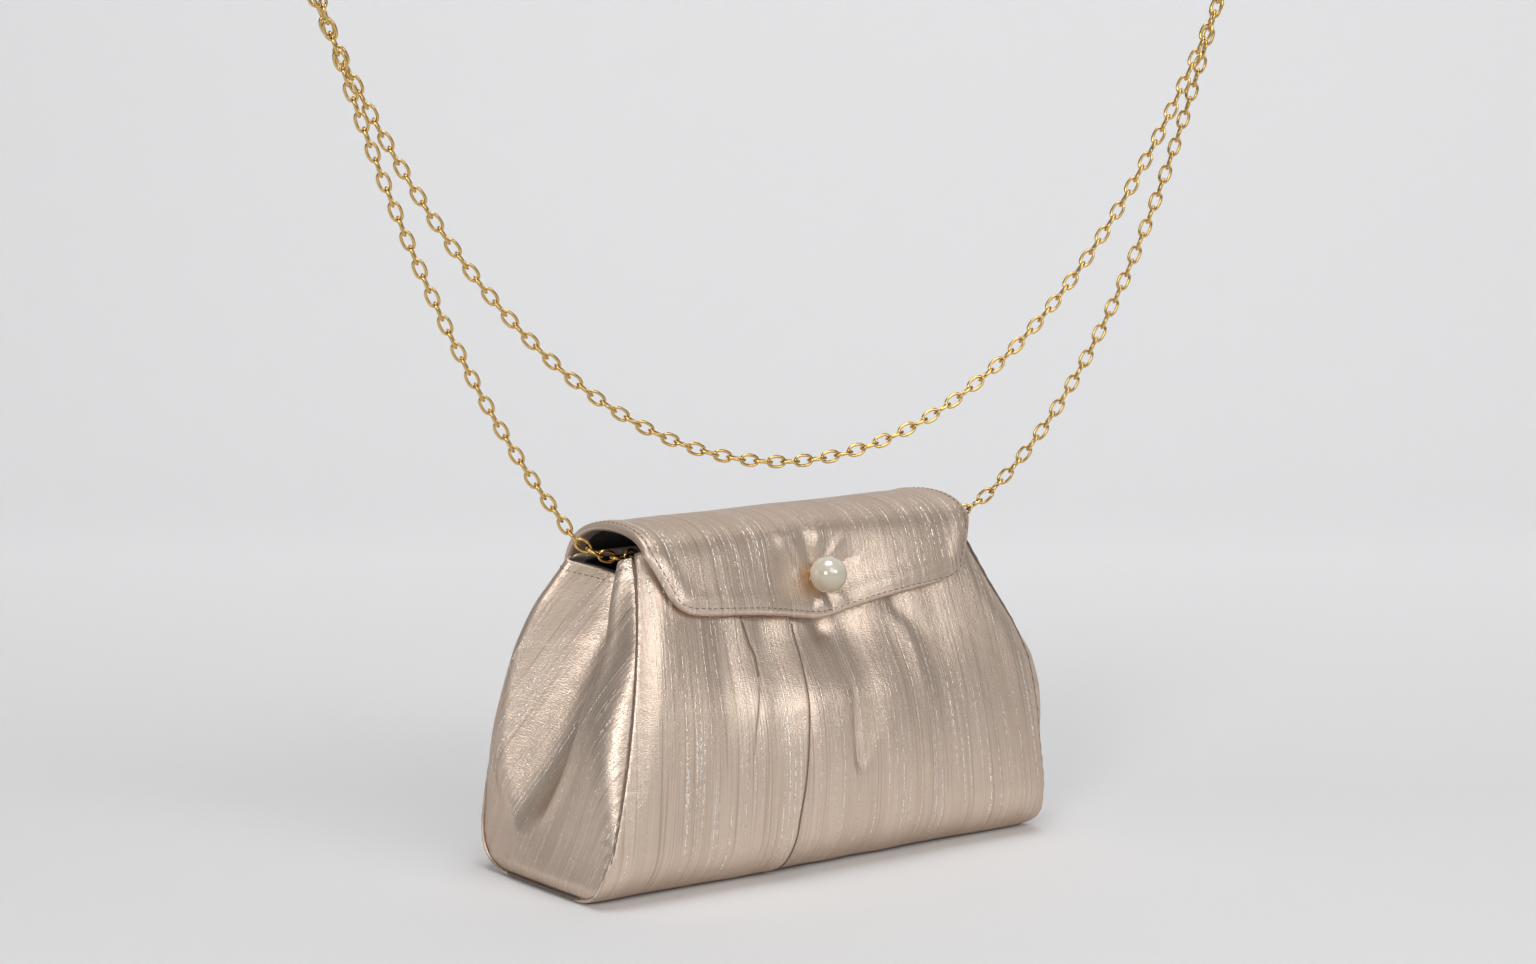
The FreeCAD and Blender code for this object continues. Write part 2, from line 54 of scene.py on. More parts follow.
# Sizes of the bag, in millimetres
BASE_HALF = 110.0
MOUTH_HALF = 77.4
HALF_DEPTH = 46.5
FOOT_R = 22.0
FRONT_H = 130.0
BACK_H = 124.4
FRONT_REACH = 22.7
BACK_REACH = 17.0
FRONT_BULGE = 4.0
BACK_BULGE = 2.0
BULGE_TOP = 0.8
PINCH = 6.5
PINCH_FOOT = 0.5
PINCH_TOP = 96.9
SEAM_FLAT = 7.0
BASE_EDGE = 24.2
PANEL = 3.0
LINING_THICK = 0.5
LINING_INSET = 3.9
LINING_FOOT = 4.0
CORNER_RUN = 11.0
CORNER_EASE = (2.0, 16.0)
CORNER_FOOT_SHARE = 0.25
FRONT_CORNER_DROP = 3.0
BACK_CORNER_DROP = 1.0
FOOT_TUCK = 2.0
FOOT_TUCK_TOP = 10.0
FLAP_HALF = 78.7
FLAP_LIP_HALF = 68.9
FLAP_CORNER_Z = 108.3
FLAP_STAND = 4.6
FLAP_THICK = 3.2
FLAP_DENT = 4.5
FLAP_DENT_WIDTH = 24.0
FLAP_DENT_RISE = 5.3
CREST_Z = 138.3
PEARL_Z = 112.6

# Height and reach of the side seams beyond the straight taper
RIGHT_SWELL = ((0.0, 0.0), (14.0, 0.6), (40.0, 4.4), (58.0, 8.0), (72.0, 9.8), (86.0, 8.2), (104.0, 3.2),
               (122.0, 0.0))
BACK_SWELL = ((0.0, 0.0), (22.0, 1.2), (50.0, 4.2), (70.0, 6.0), (90.0, 6.8), (108.0, 6.0), (124.0, 3.0))


def smooth(value, low, high):
    t = np.clip((np.asarray(value, float) - low) / (high - low), 0.0, 1.0)
    return t * t * (3.0 - 2.0 * t)


def step_up(value, width):
    """Soft step from 0 to 1 that is half way at 0."""
    return 1.0 / (1.0 + np.exp(-np.clip(value / width, -40.0, 40.0)))


def fold_line(place, knots):
    """Value at a place along straight runs between knots of (place, value)."""
    places, values = np.array(sorted(knots)).T
    return np.interp(place, places, values)


def squared_off(value, power):
    return math.copysign(abs(value) ** power, value)


def box_mm(node):
    return tuple(np.array(corner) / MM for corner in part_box(node))


def half_width(z):
    return BASE_HALF - (BASE_HALF - MOUTH_HALF) * np.asarray(z, float) / FRONT_H


def foot_tuck(z):
    """How far the cloth turns in under the bag's ends."""
    return FOOT_TUCK * (1.0 - smooth(z, 0.0, FOOT_TUCK_TOP)) ** 2


def wall_arc(height, reach):
    rise = height - FOOT_R
    lean = HALF_DEPTH - reach
    radius = (rise * rise + lean * lean) / (2.0 * lean)
    return radius, math.asin(rise / radius)


Wall = collections.namedtuple("Wall", "side arc sweep height bulge pinch")
FRONT = Wall(-1.0, *wall_arc(FRONT_H, FRONT_REACH), FRONT_H, FRONT_BULGE, PINCH)
BACK = Wall(1.0, *wall_arc(BACK_H, BACK_REACH), BACK_H, BACK_BULGE, 0.0)


def wall_y(z, wall, inset=0.0):
    """Distance of a wall, moved inwards by inset, from the middle plane at a height."""
    z = np.asarray(z, float)
    foot = HALF_DEPTH - FOOT_R + np.sqrt(np.maximum((FOOT_R - inset) ** 2 - (FOOT_R - z) ** 2, 0.0))
    rise = HALF_DEPTH - wall.arc + np.sqrt((wall.arc - inset) ** 2 - np.maximum(z - FOOT_R, 0.0) ** 2)
    return np.where(z < FOOT_R, foot, rise)


FLOOR_ROWS = 2
FOOT_ROWS = 26
RISE_ROWS = 110


def wall_rows(wall):
    """Reach, height, outward normal and run of cloth from the base seam up to the mouth."""
    floor_y = np.linspace(BASE_EDGE, HALF_DEPTH - FOOT_R, FLOOR_ROWS, endpoint=False)
    foot = np.linspace(0.0, math.pi / 2.0, FOOT_ROWS, endpoint=False)
    rise = np.linspace(0.0, wall.sweep, RISE_ROWS)
    y = np.concatenate([floor_y, HALF_DEPTH - FOOT_R + FOOT_R * np.sin(foot),
                        HALF_DEPTH - wall.arc + wall.arc * np.cos(rise)])
    z = np.concatenate([floor_y * 0.0, FOOT_R - FOOT_R * np.cos(foot), FOOT_R + wall.arc * np.sin(rise)])
    ny = np.concatenate([floor_y * 0.0, np.sin(foot), np.cos(rise)])
    nz = np.concatenate([floor_y * 0.0 - 1.0, -np.cos(foot), np.sin(rise)])
    run = np.concatenate([[0.0], np.cumsum(np.hypot(np.diff(y), np.diff(z)))])
    return y, z, ny, nz, run


# Mesh helpers
def new_object(name, verts, faces, uvs, material):
    mesh = bpy.data.meshes.new(name)
    mesh.from_pydata([tuple(v) for v in np.asarray(verts, float) * MM], [], faces)
    if uvs is not None:
        layer = mesh.uv_layers.new(name="cloth")
        index = np.empty(len(mesh.loops), np.int32)
        mesh.loops.foreach_get("vertex_index", index)
        layer.data.foreach_set("uv", (np.asarray(uvs, float)[index] * MM).ravel())
    work = bmesh.new()
    work.from_mesh(mesh)
    bmesh.ops.recalc_face_normals(work, faces=work.faces)
    work.to_mesh(mesh)
    work.free()
    mesh.polygons.foreach_set("use_smooth", [True] * len(mesh.polygons))
    mesh.update()
    obj = bpy.data.objects.new(name, mesh)
    scene.collection.objects.link(obj)
    mesh.materials.append(material)
    return obj


def grid(*sheets):
    """Grid of points, or of places on cloth, from a grid of each coordinate."""
    return np.stack(sheets, axis=2)


def unit(vector):
    return vector / np.linalg.norm(vector)


def run_along(points):
    """Distance along a line at each of its points."""
    return np.concatenate([[0.0], np.cumsum(np.linalg.norm(np.diff(points, axis=0), axis=1))])


def grid_normals(points):
    across = np.gradient(points, axis=1)
    along = np.gradient(points, axis=0)
    normal = np.cross(across, along)
    size = np.linalg.norm(normal, axis=2, keepdims=True)
    return normal / np.maximum(size, TINY)


def border(n, m):
    """Places of a grid's edge points, in order round it."""
    ring = [(0, j) for j in range(m)]
    ring += [(i, m - 1) for i in range(1, n)]
    ring += [(n - 1, j) for j in range(m - 2, -1, -1)]
    ring += [(i, 0) for i in range(n - 2, 0, -1)]
    return ring


def shell(name, outer, inner, uv, material, rim=0.45):
    """Closed cloth of two faces and a rounded rim."""
    n, m, _ = outer.shape
    count = n * m
    ring = border(n, m)
    rim_points = []
    rim_uv = []
    for i, j in ring:
        near_i = min(max(i, 1), n - 2)
        near_j = min(max(j, 1), m - 2)
        away = outer[i, j] - outer[near_i, near_j]
        away = away / max(np.linalg.norm(away), TINY)
        thick = np.linalg.norm(outer[i, j] - inner[i, j])
        rim_points.append(0.5 * (outer[i, j] + inner[i, j]) + away * thick * rim)
        rim_uv.append(uv[i, j])
    verts = np.concatenate([outer.reshape(-1, 3), inner.reshape(-1, 3), np.array(rim_points)])
    uvs = np.concatenate([uv.reshape(-1, 2), uv.reshape(-1, 2), np.array(rim_uv)])
    faces = []
    for i in range(n - 1):
        for j in range(m - 1):
            a = i * m + j
            faces.append((a, a + 1, a + m + 1, a + m))
            faces.append((count + a, count + a + m, count + a + m + 1, count + a + 1))
    total = len(ring)
    for k in range(total):
        i, j = ring[k]
        p, q = ring[(k + 1) % total]
        here, there = i * m + j, p * m + q
        rim_here, rim_there = 2 * count + k, 2 * count + (k + 1) % total
        faces.append((here, rim_here, rim_there, there))
        faces.append((rim_here, count + here, count + there, rim_there))
    return new_object(name, verts, faces, uvs, material)


def tube_faces(rings, sides, closed):
    """Faces between rings of points one after another, with a cap at each end of an open tube."""
    faces = []
    for i in range(rings if closed else rings - 1):
        here, there = i * sides, (i + 1) % rings * sides
        for k in range(sides):
            m = (k + 1) % sides
            faces.append((here + k, here + m, there + m, there + k))
    if not closed:
        faces.append(tuple(range(sides)))
        faces.append(tuple((rings - 1) * sides + k for k in range(sides)))
    return faces


def circle(centre, radius, side, other, count):
    """Points round a circle, from its side direction towards the other."""
    turns = [2.0 * math.pi * k / count for k in range(count)]
    return [centre + radius * (side * math.cos(t) + other * math.sin(t)) for t in turns]


def tube(name, path, radius, material, sides=8, closed=False):
    """Round cord along points."""
    path = np.asarray(path, float)
    n = len(path)
    verts = []
    side = None
    for i in range(n):
        before = path[i - 1] if (closed or i > 0) else path[i]
        after = path[(i + 1) % n] if (closed or i < n - 1) else path[i]
        along = unit(after - before)
        if side is None:
            side = np.cross(along, UPWARD if abs(along[2]) < 0.9 else RIGHTWARD)
        side = unit(side - along * side.dot(along))
        verts += circle(path[i], radius, side, np.cross(along, side), sides)
    uvs = [(k, i) for i in range(n) for k in range(sides)]
    return new_object(name, verts, tube_faces(n, sides, closed), uvs, material)


def joined(pieces):
    """One list of points and one of faces from several (points, faces)."""
    verts = []
    faces = []
    for points, quads in pieces:
        start = len(verts)
        verts.extend(points)
        faces.extend([tuple(start + k for k in f) for f in quads])
    return verts, faces


# Materials
def shader(name):
    material = bpy.data.materials.new(name)
    material.use_nodes = True
    tree = material.node_tree
    return material, tree, tree.nodes["Principled BSDF"]


def plug(node, inputs):
    """Set a node's inputs to values, or link them to the outputs of other nodes."""
    for key, value in inputs.items():
        if isinstance(value, bpy.types.NodeSocket):
            node.id_data.links.new(value, node.inputs[key])
        else:
            node.inputs[key].default_value = value


def add_node(tree, kind, inputs, **settings):
    """New shader node; gives its outputs."""
    node = tree.nodes.new("ShaderNode" + kind)
    for key, value in settings.items():
        setattr(node, key, value)
    plug(node, inputs)
    return node.outputs


def object_place(tree):
    return add_node(tree, "TexCoord", {})["Object"]


def cloth_uv(tree):
    return add_node(tree, "UVMap", {}, uv_map="cloth")["UV"]


def noise(source, scale, detail):
    """Noise over a source vector stretched by its own scale on each axis."""
    tree = source.id_data
    place = add_node(tree, "Mapping", {"Vector": source, "Scale": scale})["Vector"]
    grain = {"Vector": place, "Scale": 1.0, "Detail": detail, "Roughness": 0.55}
    return add_node(tree, "TexNoise", grain)["Fac"]


def object_noise(tree, scale, detail):
    return noise(object_place(tree), (scale, scale, scale), detail)


def remap(value, low, high, to_low=0.0, to_high=1.0):
    span = {"Value": value, "From Min": low, "From Max": high, "To Min": to_low, "To Max": to_high}
    return add_node(value.id_data, "MapRange", span)["Result"]


def maths(operation, a, b):
    return add_node(a.id_data, "Math", {0: a, 1: b}, operation=operation)["Value"]


def weighted(a, share_a, b, share_b):
    return maths("ADD", maths("MULTIPLY", a, share_a), maths("MULTIPLY", b, share_b))


def blend(factor, *colours):
    a, b = ((*colour, 1.0) if isinstance(colour, tuple) else colour for colour in colours)
    return add_node(factor.id_data, "Mix", {"Factor": factor, 6: a, 7: b}, data_type="RGBA")[2]


def bump(height, strength, distance):
    inputs = {"Height": height, "Strength": strength, "Distance": distance}
    return add_node(height.id_data, "Bump", inputs)["Normal"]


# Silk: how often each noise repeats across and along a metre of cloth, its detail, and the threads' colours
SILK_NOISES = ((1500.0, 14.0, 2.0), (170.0, 5.0, 2.0), (1250.0, 10.0, 1.0), (1000.0, 520.0, 1.0),
               (900.0, 2100.0, 2.0), (120.0, 110.0, 2.0))
SILK_DARK = (0.58, 0.445, 0.345)
SILK_LIGHT = (0.81, 0.67, 0.56)
SILK_SUNK = (0.40, 0.285, 0.21)
SILK_BRIGHT = (0.98, 0.92, 0.85)
SILK_EDGE_TINT = (0.62, 0.54, 0.48, 1.0)


def silk_material():
    """Slubbed metallic silk: warp lines, bright and dark slubs, cross crinkle and soft bands."""
    material, tree, bsdf = shader("silk")
    uv = cloth_uv(tree)
    grains = [noise(uv, (across, along, 1.0), detail) for across, along, detail in SILK_NOISES]
    warp, bands, slub, dash, crinkle, ripple = grains
    broken = maths("MULTIPLY", remap(slub, 0.605, 0.665), remap(dash, 0.45, 0.54))
    sunk = remap(slub, 0.39, 0.32, 0.0, 0.5)
    tone = weighted(remap(bands, 0.25, 0.75), 0.4, remap(warp, 0.25, 0.75), 0.6)
    cloth = blend(tone, SILK_DARK, SILK_LIGHT)
    cloth = blend(sunk, cloth, SILK_SUNK)
    fine = weighted(warp, 0.3, broken, 0.7)
    coarse = weighted(crinkle, 0.6, ripple, 1.0)
    plug(bsdf, {
        "Base Color": blend(broken, cloth, SILK_BRIGHT),
        "Roughness": remap(weighted(warp, 1.0, broken, -0.3), 0.2, 0.8, 0.26, 0.4),
        "Metallic": 0.7,
        "Specular IOR Level": 0.8,
        "Specular Tint": SILK_EDGE_TINT,
        "Anisotropic": 0.4,
        "Tangent": add_node(tree, "Tangent", {}, direction_type="UV_MAP", uv_map="cloth")["Tangent"],
        "Normal": bump(maths("ADD", fine, coarse), 0.6, 0.0004),
    })
    return material


def lining_material():
    material, tree, bsdf = shader("lining")
    weave = noise(cloth_uv(tree), (1800.0, 1200.0, 1.0), 2.0)
    plug(bsdf, {
        "Base Color": blend(weave, (0.006, 0.006, 0.007), (0.02, 0.019, 0.021)),
        "Roughness": remap(weave, 0.3, 0.7, 0.42, 0.6),
        "Normal": bump(weave, 0.3, 0.0001),
    })
    return material


def mottled(name, scale, detail, dark, light, smooth_rough, matt_rough, metallic=0.0):
    """Material whose colour and roughness vary with one noise."""
    material, tree, bsdf = shader(name)
    grain = object_noise(tree, scale, detail)
    plug(bsdf, {
        "Base Color": blend(grain, dark, light),
        "Roughness": remap(grain, 0.3, 0.7, smooth_rough, matt_rough),
        "Metallic": metallic,
    })
    return material, tree, bsdf


def gold_material():
    dark, light = (0.58, 0.36, 0.11), (0.82, 0.58, 0.23)
    material, tree, bsdf = mottled("gold", 420.0, 3.0, dark, light, 0.14, 0.26, 1.0)
    plug(bsdf, {"Normal": bump(object_noise(tree, 1900.0, 2.0), 0.06, 0.0001)})
    return material


# Painted shade on the pearl: a darker, warmer colour at its foot, giving way to its own colour between these
# heights about its middle
PEARL_SHADE_FOOT = (0.46, 0.36, 0.23)
PEARL_SHADE_FADE = (-3.0, 7.0)


def pearl_material():
    """Ivory lacquer, with painted shade: darker and warmer towards the pearl's foot."""
    material, tree, bsdf = shader("pearl")
    lustre = object_noise(tree, 130.0, 2.0)
    height = add_node(tree, "SeparateXYZ", {"Vector": object_place(tree)})["Z"]
    # Painted shade: the colour darkens from the pearl's middle down to its foot
    rise = remap(height, *((PEARL_Z + fade) * MM for fade in PEARL_SHADE_FADE))
    body = blend(lustre, (0.62, 0.565, 0.47), (0.69, 0.64, 0.545))
    plug(bsdf, {
        "Base Color": blend(rise, PEARL_SHADE_FOOT, body),
        "Roughness": remap(lustre, 0.3, 0.7, 0.14, 0.22),
        "Coat Weight": 1.0,
        "Coat Roughness": 0.03,
        "Coat IOR": 1.8,
        "Subsurface Weight": 0.05,
        "Subsurface Radius": (0.002, 0.0015, 0.001),
    })
    return material


SILK = silk_material()
LINING = lining_material()
GOLD = gold_material()
PEARL = pearl_material()
STEEL = mottled("steel", 900.0, 3.0, (0.42, 0.42, 0.43), (0.62, 0.62, 0.63), 0.25, 0.4, 1.0)[0]
BOARD = mottled("board", 700.0, 4.0, (0.28, 0.21, 0.13), (0.42, 0.33, 0.22), 0.8, 0.95)[0]
THREAD = mottled("thread", 2400.0, 2.0, (0.12, 0.075, 0.05), (0.22, 0.15, 0.11), 0.45, 0.65)[0]


def finished(obj, body, slot, *nodes):
    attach(obj, body)
    if nodes:
        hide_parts(*nodes)
    return obj


# Chain: round links where the solid links are, in their order along the chain
LINK_HALF_LONG = 3.55
LINK_HALF_SHORT = 2.0
LINK_WIRE = 0.6
LINK_SQUARE = 0.86
LINK_AROUND = 28
LINK_SIDES = 10


def link_places(node):
    """Centre, long axis and face normal of each separate link of a node."""
    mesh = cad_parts[node].data
    points = np.empty(len(mesh.vertices) * 3)
    mesh.vertices.foreach_get("co", points)
    points = points.reshape(-1, 3)
    keys = {}
    weld = [keys.setdefault(tuple(np.round(p, 6)), len(keys)) for p in points]
    parent = list(range(len(keys)))

    def root(i):
        while parent[i] != i:
            parent[i] = parent[parent[i]]
            i = parent[i]
        return i

    for face in mesh.polygons:
        first = root(weld[face.vertices[0]])
        for v in face.vertices[1:]:
            parent[root(weld[v])] = first
    groups = {}
    for key, i in keys.items():
        groups.setdefault(root(i), []).append(key)
    places = []
    for members in groups.values():
        spots = np.array(members) / MM
        centre = spots.mean(axis=0)
        _, _, axes = np.linalg.svd(spots - centre, full_matrices=False)
        places.append((centre, axes[0], axes[2]))
    return places


def link_shape():
    """Oval link of round wire in its own frame: long axis X, face normal Z."""
    verts = []
    for i in range(LINK_AROUND):
        t = 2.0 * math.pi * i / LINK_AROUND
        c, s = math.cos(t), math.sin(t)
        spot = np.array([LINK_HALF_LONG * squared_off(c, LINK_SQUARE),
                         LINK_HALF_SHORT * squared_off(s, LINK_SQUARE), 0.0])
        outward = unit(np.array([c / LINK_HALF_LONG, s / LINK_HALF_SHORT, 0.0]))
        verts += circle(spot, LINK_WIRE, outward, UPWARD, LINK_SIDES)
    return np.array(verts), tube_faces(LINK_AROUND, LINK_SIDES, True)


# The chain's nodes in order, with the axis that each runs along and its direction
CHAIN = (("left_chain_strand", 2, 1.0), ("chain_loop_left", 0, 1.0), ("chain_loop_right", 0, 1.0),
         ("right_chain_strand", 2, -1.0))
chain_links = []
for node, axis, way in CHAIN:
    chain_links += sorted(link_places(node), key=lambda place: way * place[0][axis])
link_points, link_faces = link_shape()
links = []
for centre, along, face in chain_links:
    turn = np.array([along, np.cross(face, along), face])
    links.append((link_points @ turn + centre, link_faces))
chain = new_object("chain", *joined(links), None, GOLD)
finished(chain, "bag", "gold", *(node for node, _, _ in CHAIN))

# Rings at the chain's ends and the D-rings that hold them
END_RING_RADIUS = 2.9
BOW_START = 0.12
BOW_SQUARE = 0.8


def end_ring(side):
    low, high = box_mm(side + "_end_ring")
    path = circle(0.5 * (low + high), END_RING_RADIUS, RIGHTWARD, UPWARD, 36)
    ring = tube(side + "_chain_ring", path, LINK_WIRE, GOLD, sides=LINK_SIDES, closed=True)
    return finished(ring, "bag", "gold", side + "_end_ring")


def d_ring(side):
    """Straight bar in the tab and a bow that reaches outwards."""
    low, high = box_mm(side + "_d_ring")
    sign = SIGN[side]
    wire = 0.5 * (high[2] - low[2])
    inner_x, outer_x = (high[0], low[0]) if side == "left" else (low[0], high[0])
    bar_x = inner_x + sign * wire
    reach = abs(outer_x - sign * wire - bar_x)
    half = 0.5 * (high[1] - low[1]) - wire
    centre = np.array([bar_x, 0.5 * (low[1] + high[1]), 0.5 * (low[2] + high[2])])
    outline = [np.array([0.0, y, 0.0]) for y in np.linspace(-half, half, 9)]
    outline += [np.array([sign * reach * math.sin(t), half * squared_off(math.cos(t), BOW_SQUARE), 0.0])
                for t in np.linspace(BOW_START, math.pi - BOW_START, 24)]
    loop = tube(side + "_d_loop", [centre + p for p in outline], wire, GOLD, sides=12, closed=True)
    finished(loop, side + "_ring", "gold", side + "_d_ring")


for side in SIGN:
    end_ring(side)
    d_ring(side)

# Front panel: gathered under the flap, one sharp tuck, two soft folds and a dimple
TUCK_LEFT = ((102.0, -37.1), (93.3, -35.5), (87.4, -34.1), (75.4, -36.0), (61.4, -40.5), (30.0, -47.0),
             (0.0, -51.0))
TUCK_MAIN = ((99.2, -12.8), (87.1, -13.0), (72.5, -15.4), (52.1, -18.4), (35.7, -20.5), (24.9, -22.3),
             (7.8, -24.0), (0.0, -25.0))
FOLD_RIGHT = ((99.8, 35.5), (91.1, 41.5), (83.5, 44.5), (59.2, 47.0), (35.6, 47.5), (10.7, 48.0), (0.0, 48.0))
# Each tuck: line, rise and run of cloth above, drop and run below, width of step, heights it fades in over
FRONT_TUCKS = (
    (TUCK_MAIN, 1.5, 13.0, 1.5, 3.2, 0.14, -0.5, 7.0),
    (TUCK_LEFT, 1.3, 9.0, 1.0, 3.5, 0.2, 42.0, 84.0),
    (FOLD_RIGHT, 1.7, 17.0, 0.9, 10.0, 2.0, 4.0, 40.0),
)
RELIEF = (-2.3, 2.8)
DIMPLE_X = 9.0
DIMPLE_Z = 52.0
DIMPLE_DEPTH = 3.0
DIMPLE_WALL = 4.2
DIMPLE_FOOT_Z = 40.5
DIMPLE_FADE = (52.0, 76.0)
CLOSURE_Z = 104.0
LIP_HOLLOW = 1.4
SEAT_DEPTH = 0.5
SEAT_ROOM = 1.2
magnet_low, magnet_high = box_mm("front_magnet")
MAGNET_X, _, MAGNET_Z = 0.5 * (magnet_low + magnet_high)
MAGNET_SEAT = 0.5 * (magnet_high[0] - magnet_low[0]) + SEAT_ROOM


def crown(x, z, wall):
    """How far a wall bulges, and how far the gathers draw it in under the flap."""
    across = (1.0 - np.minimum(np.abs(x) / (half_width(z) - SEAM_FLAT), 1.0) ** 2) ** 2
    swell = wall.bulge * np.sin(math.pi * np.minimum(z / (BULGE_TOP * wall.height), 1.0)) ** 2
    return across * (swell - wall.pinch * smooth(z, PINCH_FOOT * wall.height, PINCH_TOP))


def tuck(offset, high, left_run, low, right_run, edge):
    """Step of cloth at a tuck: the left lies over the right."""
    over = high * np.exp(np.minimum(offset, 0.0) / left_run)
    under = -low * np.exp(-np.maximum(offset, 0.0) / right_run)
    side = step_up(-offset, edge)
    return side * over + (1.0 - side) * under


def seam_swell(z, wall, right):
    """How far a side seam of a wall stands out beyond the straight taper."""
    if wall is BACK:
        return fold_line(z, BACK_SWELL)
    return fold_line(z, RIGHT_SWELL) if right else 0.0 * np.asarray(z, float)


def side_reach(x, z, wall):
    return half_width(z) + np.where(x > 0.0, seam_swell(z, wall, True), seam_swell(z, wall, False))


def edge_puckers(x, z, run, wall, seed):
    near = side_reach(x, z, wall) - np.abs(x)
    waves = np.sin(2.0 * math.pi * run / 4.6 + seed) + 0.6 * np.sin(2.0 * math.pi * run / 7.9 + 2.0 * seed)
    return 0.07 * waves * np.exp(-near / 3.0) - 0.45 * np.exp(-near / 0.7)


def corner_turn(x, z, wall):
    """Share, 0 to 1, of the way that a wall turns round its side seam."""
    return np.clip((np.abs(x) - side_reach(x, z, wall) + CORNER_RUN) / CORNER_RUN, 0.0, 1.0)


def dimple(x, z):
    """Teardrop dent: a sharp left wall, a rounded foot and a slow rise to the right and upwards."""
    aside = x - DIMPLE_X - 0.05 * (z - DIMPLE_Z)
    soft = 1.9 + 0.6 * np.maximum(aside - 2.0, 0.0)
    foot = step_up(z - DIMPLE_FOOT_Z - 0.16 * aside ** 2, soft)
    wall = step_up(aside + DIMPLE_WALL, 0.35)
    run_out = np.exp(-np.maximum(aside + DIMPLE_WALL, 0.0) / 7.0)
    return DIMPLE_DEPTH * foot * wall * run_out * (1.0 - smooth(z, *DIMPLE_FADE))


def gathers(x, z):
    """Soft pleats that fan out downwards from under the flap, and long waves across the front."""
    gather = smooth(z, 40.0, 98.0)
    fan = x * (1.0 - 0.22 * (FRONT_H - z) / FRONT_H)
    waves = 0.55 * np.sin(fan / 3.1 + 0.5) + 0.5 * np.sin(fan / 4.7 + 1.9 + z / 60.0)
    waves = waves + 0.4 * np.sin(fan / 7.9 + 4.0)
    pleats = waves * (0.16 + 0.34 * gather) * np.exp(-(x / 62.0) ** 4)
    return pleats + 0.35 * np.sin(fan / 11.0 + 1.2) * np.sin(z / 31.0 + x / 90.0)


def front_relief(x, z, run):
    depth = 0.0 * x
    for knots, over, left_run, under, right_run, edge, fade_low, fade_high in FRONT_TUCKS:
        step = tuck(x - fold_line(z, knots), over, left_run, under, right_run, edge)
        depth = depth + step * smooth(z, fade_low, fade_high)
    depth = depth + gathers(x, z)
    depth = depth * (1.0 - np.exp(-(x / 9.0) ** 4 - ((z - CLOSURE_Z) / 10.0) ** 4))
    under_lip = LIP_HOLLOW * np.exp(-((x - 2.0) / 4.5) ** 2 - ((z - 94.0) / 4.5) ** 2)
    seat = SEAT_DEPTH * np.exp(-(np.hypot(x - MAGNET_X, z - MAGNET_Z) / MAGNET_SEAT) ** 8)
    hollow = dimple(x, z) + seat + under_lip
    return np.clip(depth, *RELIEF) - hollow + edge_puckers(x, z, run, FRONT, 0.7)


# The front's columns follow its tucks, whose lines lie at these shares of its width
KNOT_PLACES = np.array([-1.0, -0.42, -0.19, 0.44, 1.0])
NEAR_TUCK = np.array([0.0008, 0.002, 0.004, 0.007])
CUT_HEIGHT = 40.0
MOUTH_HEM = 0.35
MOUTH_HEM_DEPTH = (2.6, 1.6)
CORNER_THIN = 0.66


def wall_panel(name, wall, relief, columns, knots, material, thick, inset=0.0, trim=None):
    """A cloth wall: a grid whose columns follow the folds; inset and trim move a lining inwards."""
    y, z, ny, nz, run = wall_rows(wall)
    if trim is not None:
        keep = z > trim
        y, z, ny, nz, run = (a[keep] for a in (y, z, ny, nz, run))
    rows = []
    for zi in z:
        reach = half_width(zi) - inset - foot_tuck(zi)
        places = [-reach - float(seam_swell(zi, wall, False))] + [fold_line(zi, k) for k in knots]
        places.append(reach + float(seam_swell(zi, wall, True)))
        rows.append(np.interp(columns, KNOT_PLACES if knots else (-1.0, 1.0), places))
    x = np.array(rows)
    yy, zz, nyy, nzz, rr = (np.repeat(a[:, None], x.shape[1], axis=1) for a in (y, z, ny, nz, run))
    base = grid(x, wall.side * yy, zz)
    normal = grid(x * 0.0, wall.side * nyy, nzz)
    raise_by = MOUTH_HEM * smooth(run[-1] - rr, *MOUTH_HEM_DEPTH) + (relief(x, zz, rr) if relief else 0.0)
    turn = corner_turn(x, zz, wall)
    drop = BACK_CORNER_DROP
    if wall is FRONT:
        drop = FRONT_CORNER_DROP * (CORNER_FOOT_SHARE + (1.0 - CORNER_FOOT_SHARE) * smooth(zz, *CORNER_EASE))
    stand = crown(x, zz, wall) - drop * turn ** 2 - inset
    outer = base + normal * (stand + raise_by)[:, :, None]
    inner = base + normal * (stand - thick * (1.0 - CORNER_THIN * turn))[:, :, None]
    uv = grid(x * (0.5 + 0.5 * half_width(CUT_HEIGHT) / half_width(zz)), rr)
    return shell(name, outer, inner, uv, material)


columns = [np.linspace(-1.0, 1.0, 215)]
for knot in KNOT_PLACES[1:3]:
    columns += [knot + NEAR_TUCK, knot - NEAR_TUCK, [knot]]
columns = np.unique(np.round(np.concatenate(columns), 5))
tucks = (TUCK_LEFT, TUCK_MAIN, FOLD_RIGHT)
front = wall_panel("front_cloth", FRONT, front_relief, columns, tucks, SILK, PANEL)
finished(front, "bag", "silk", "front_panel")


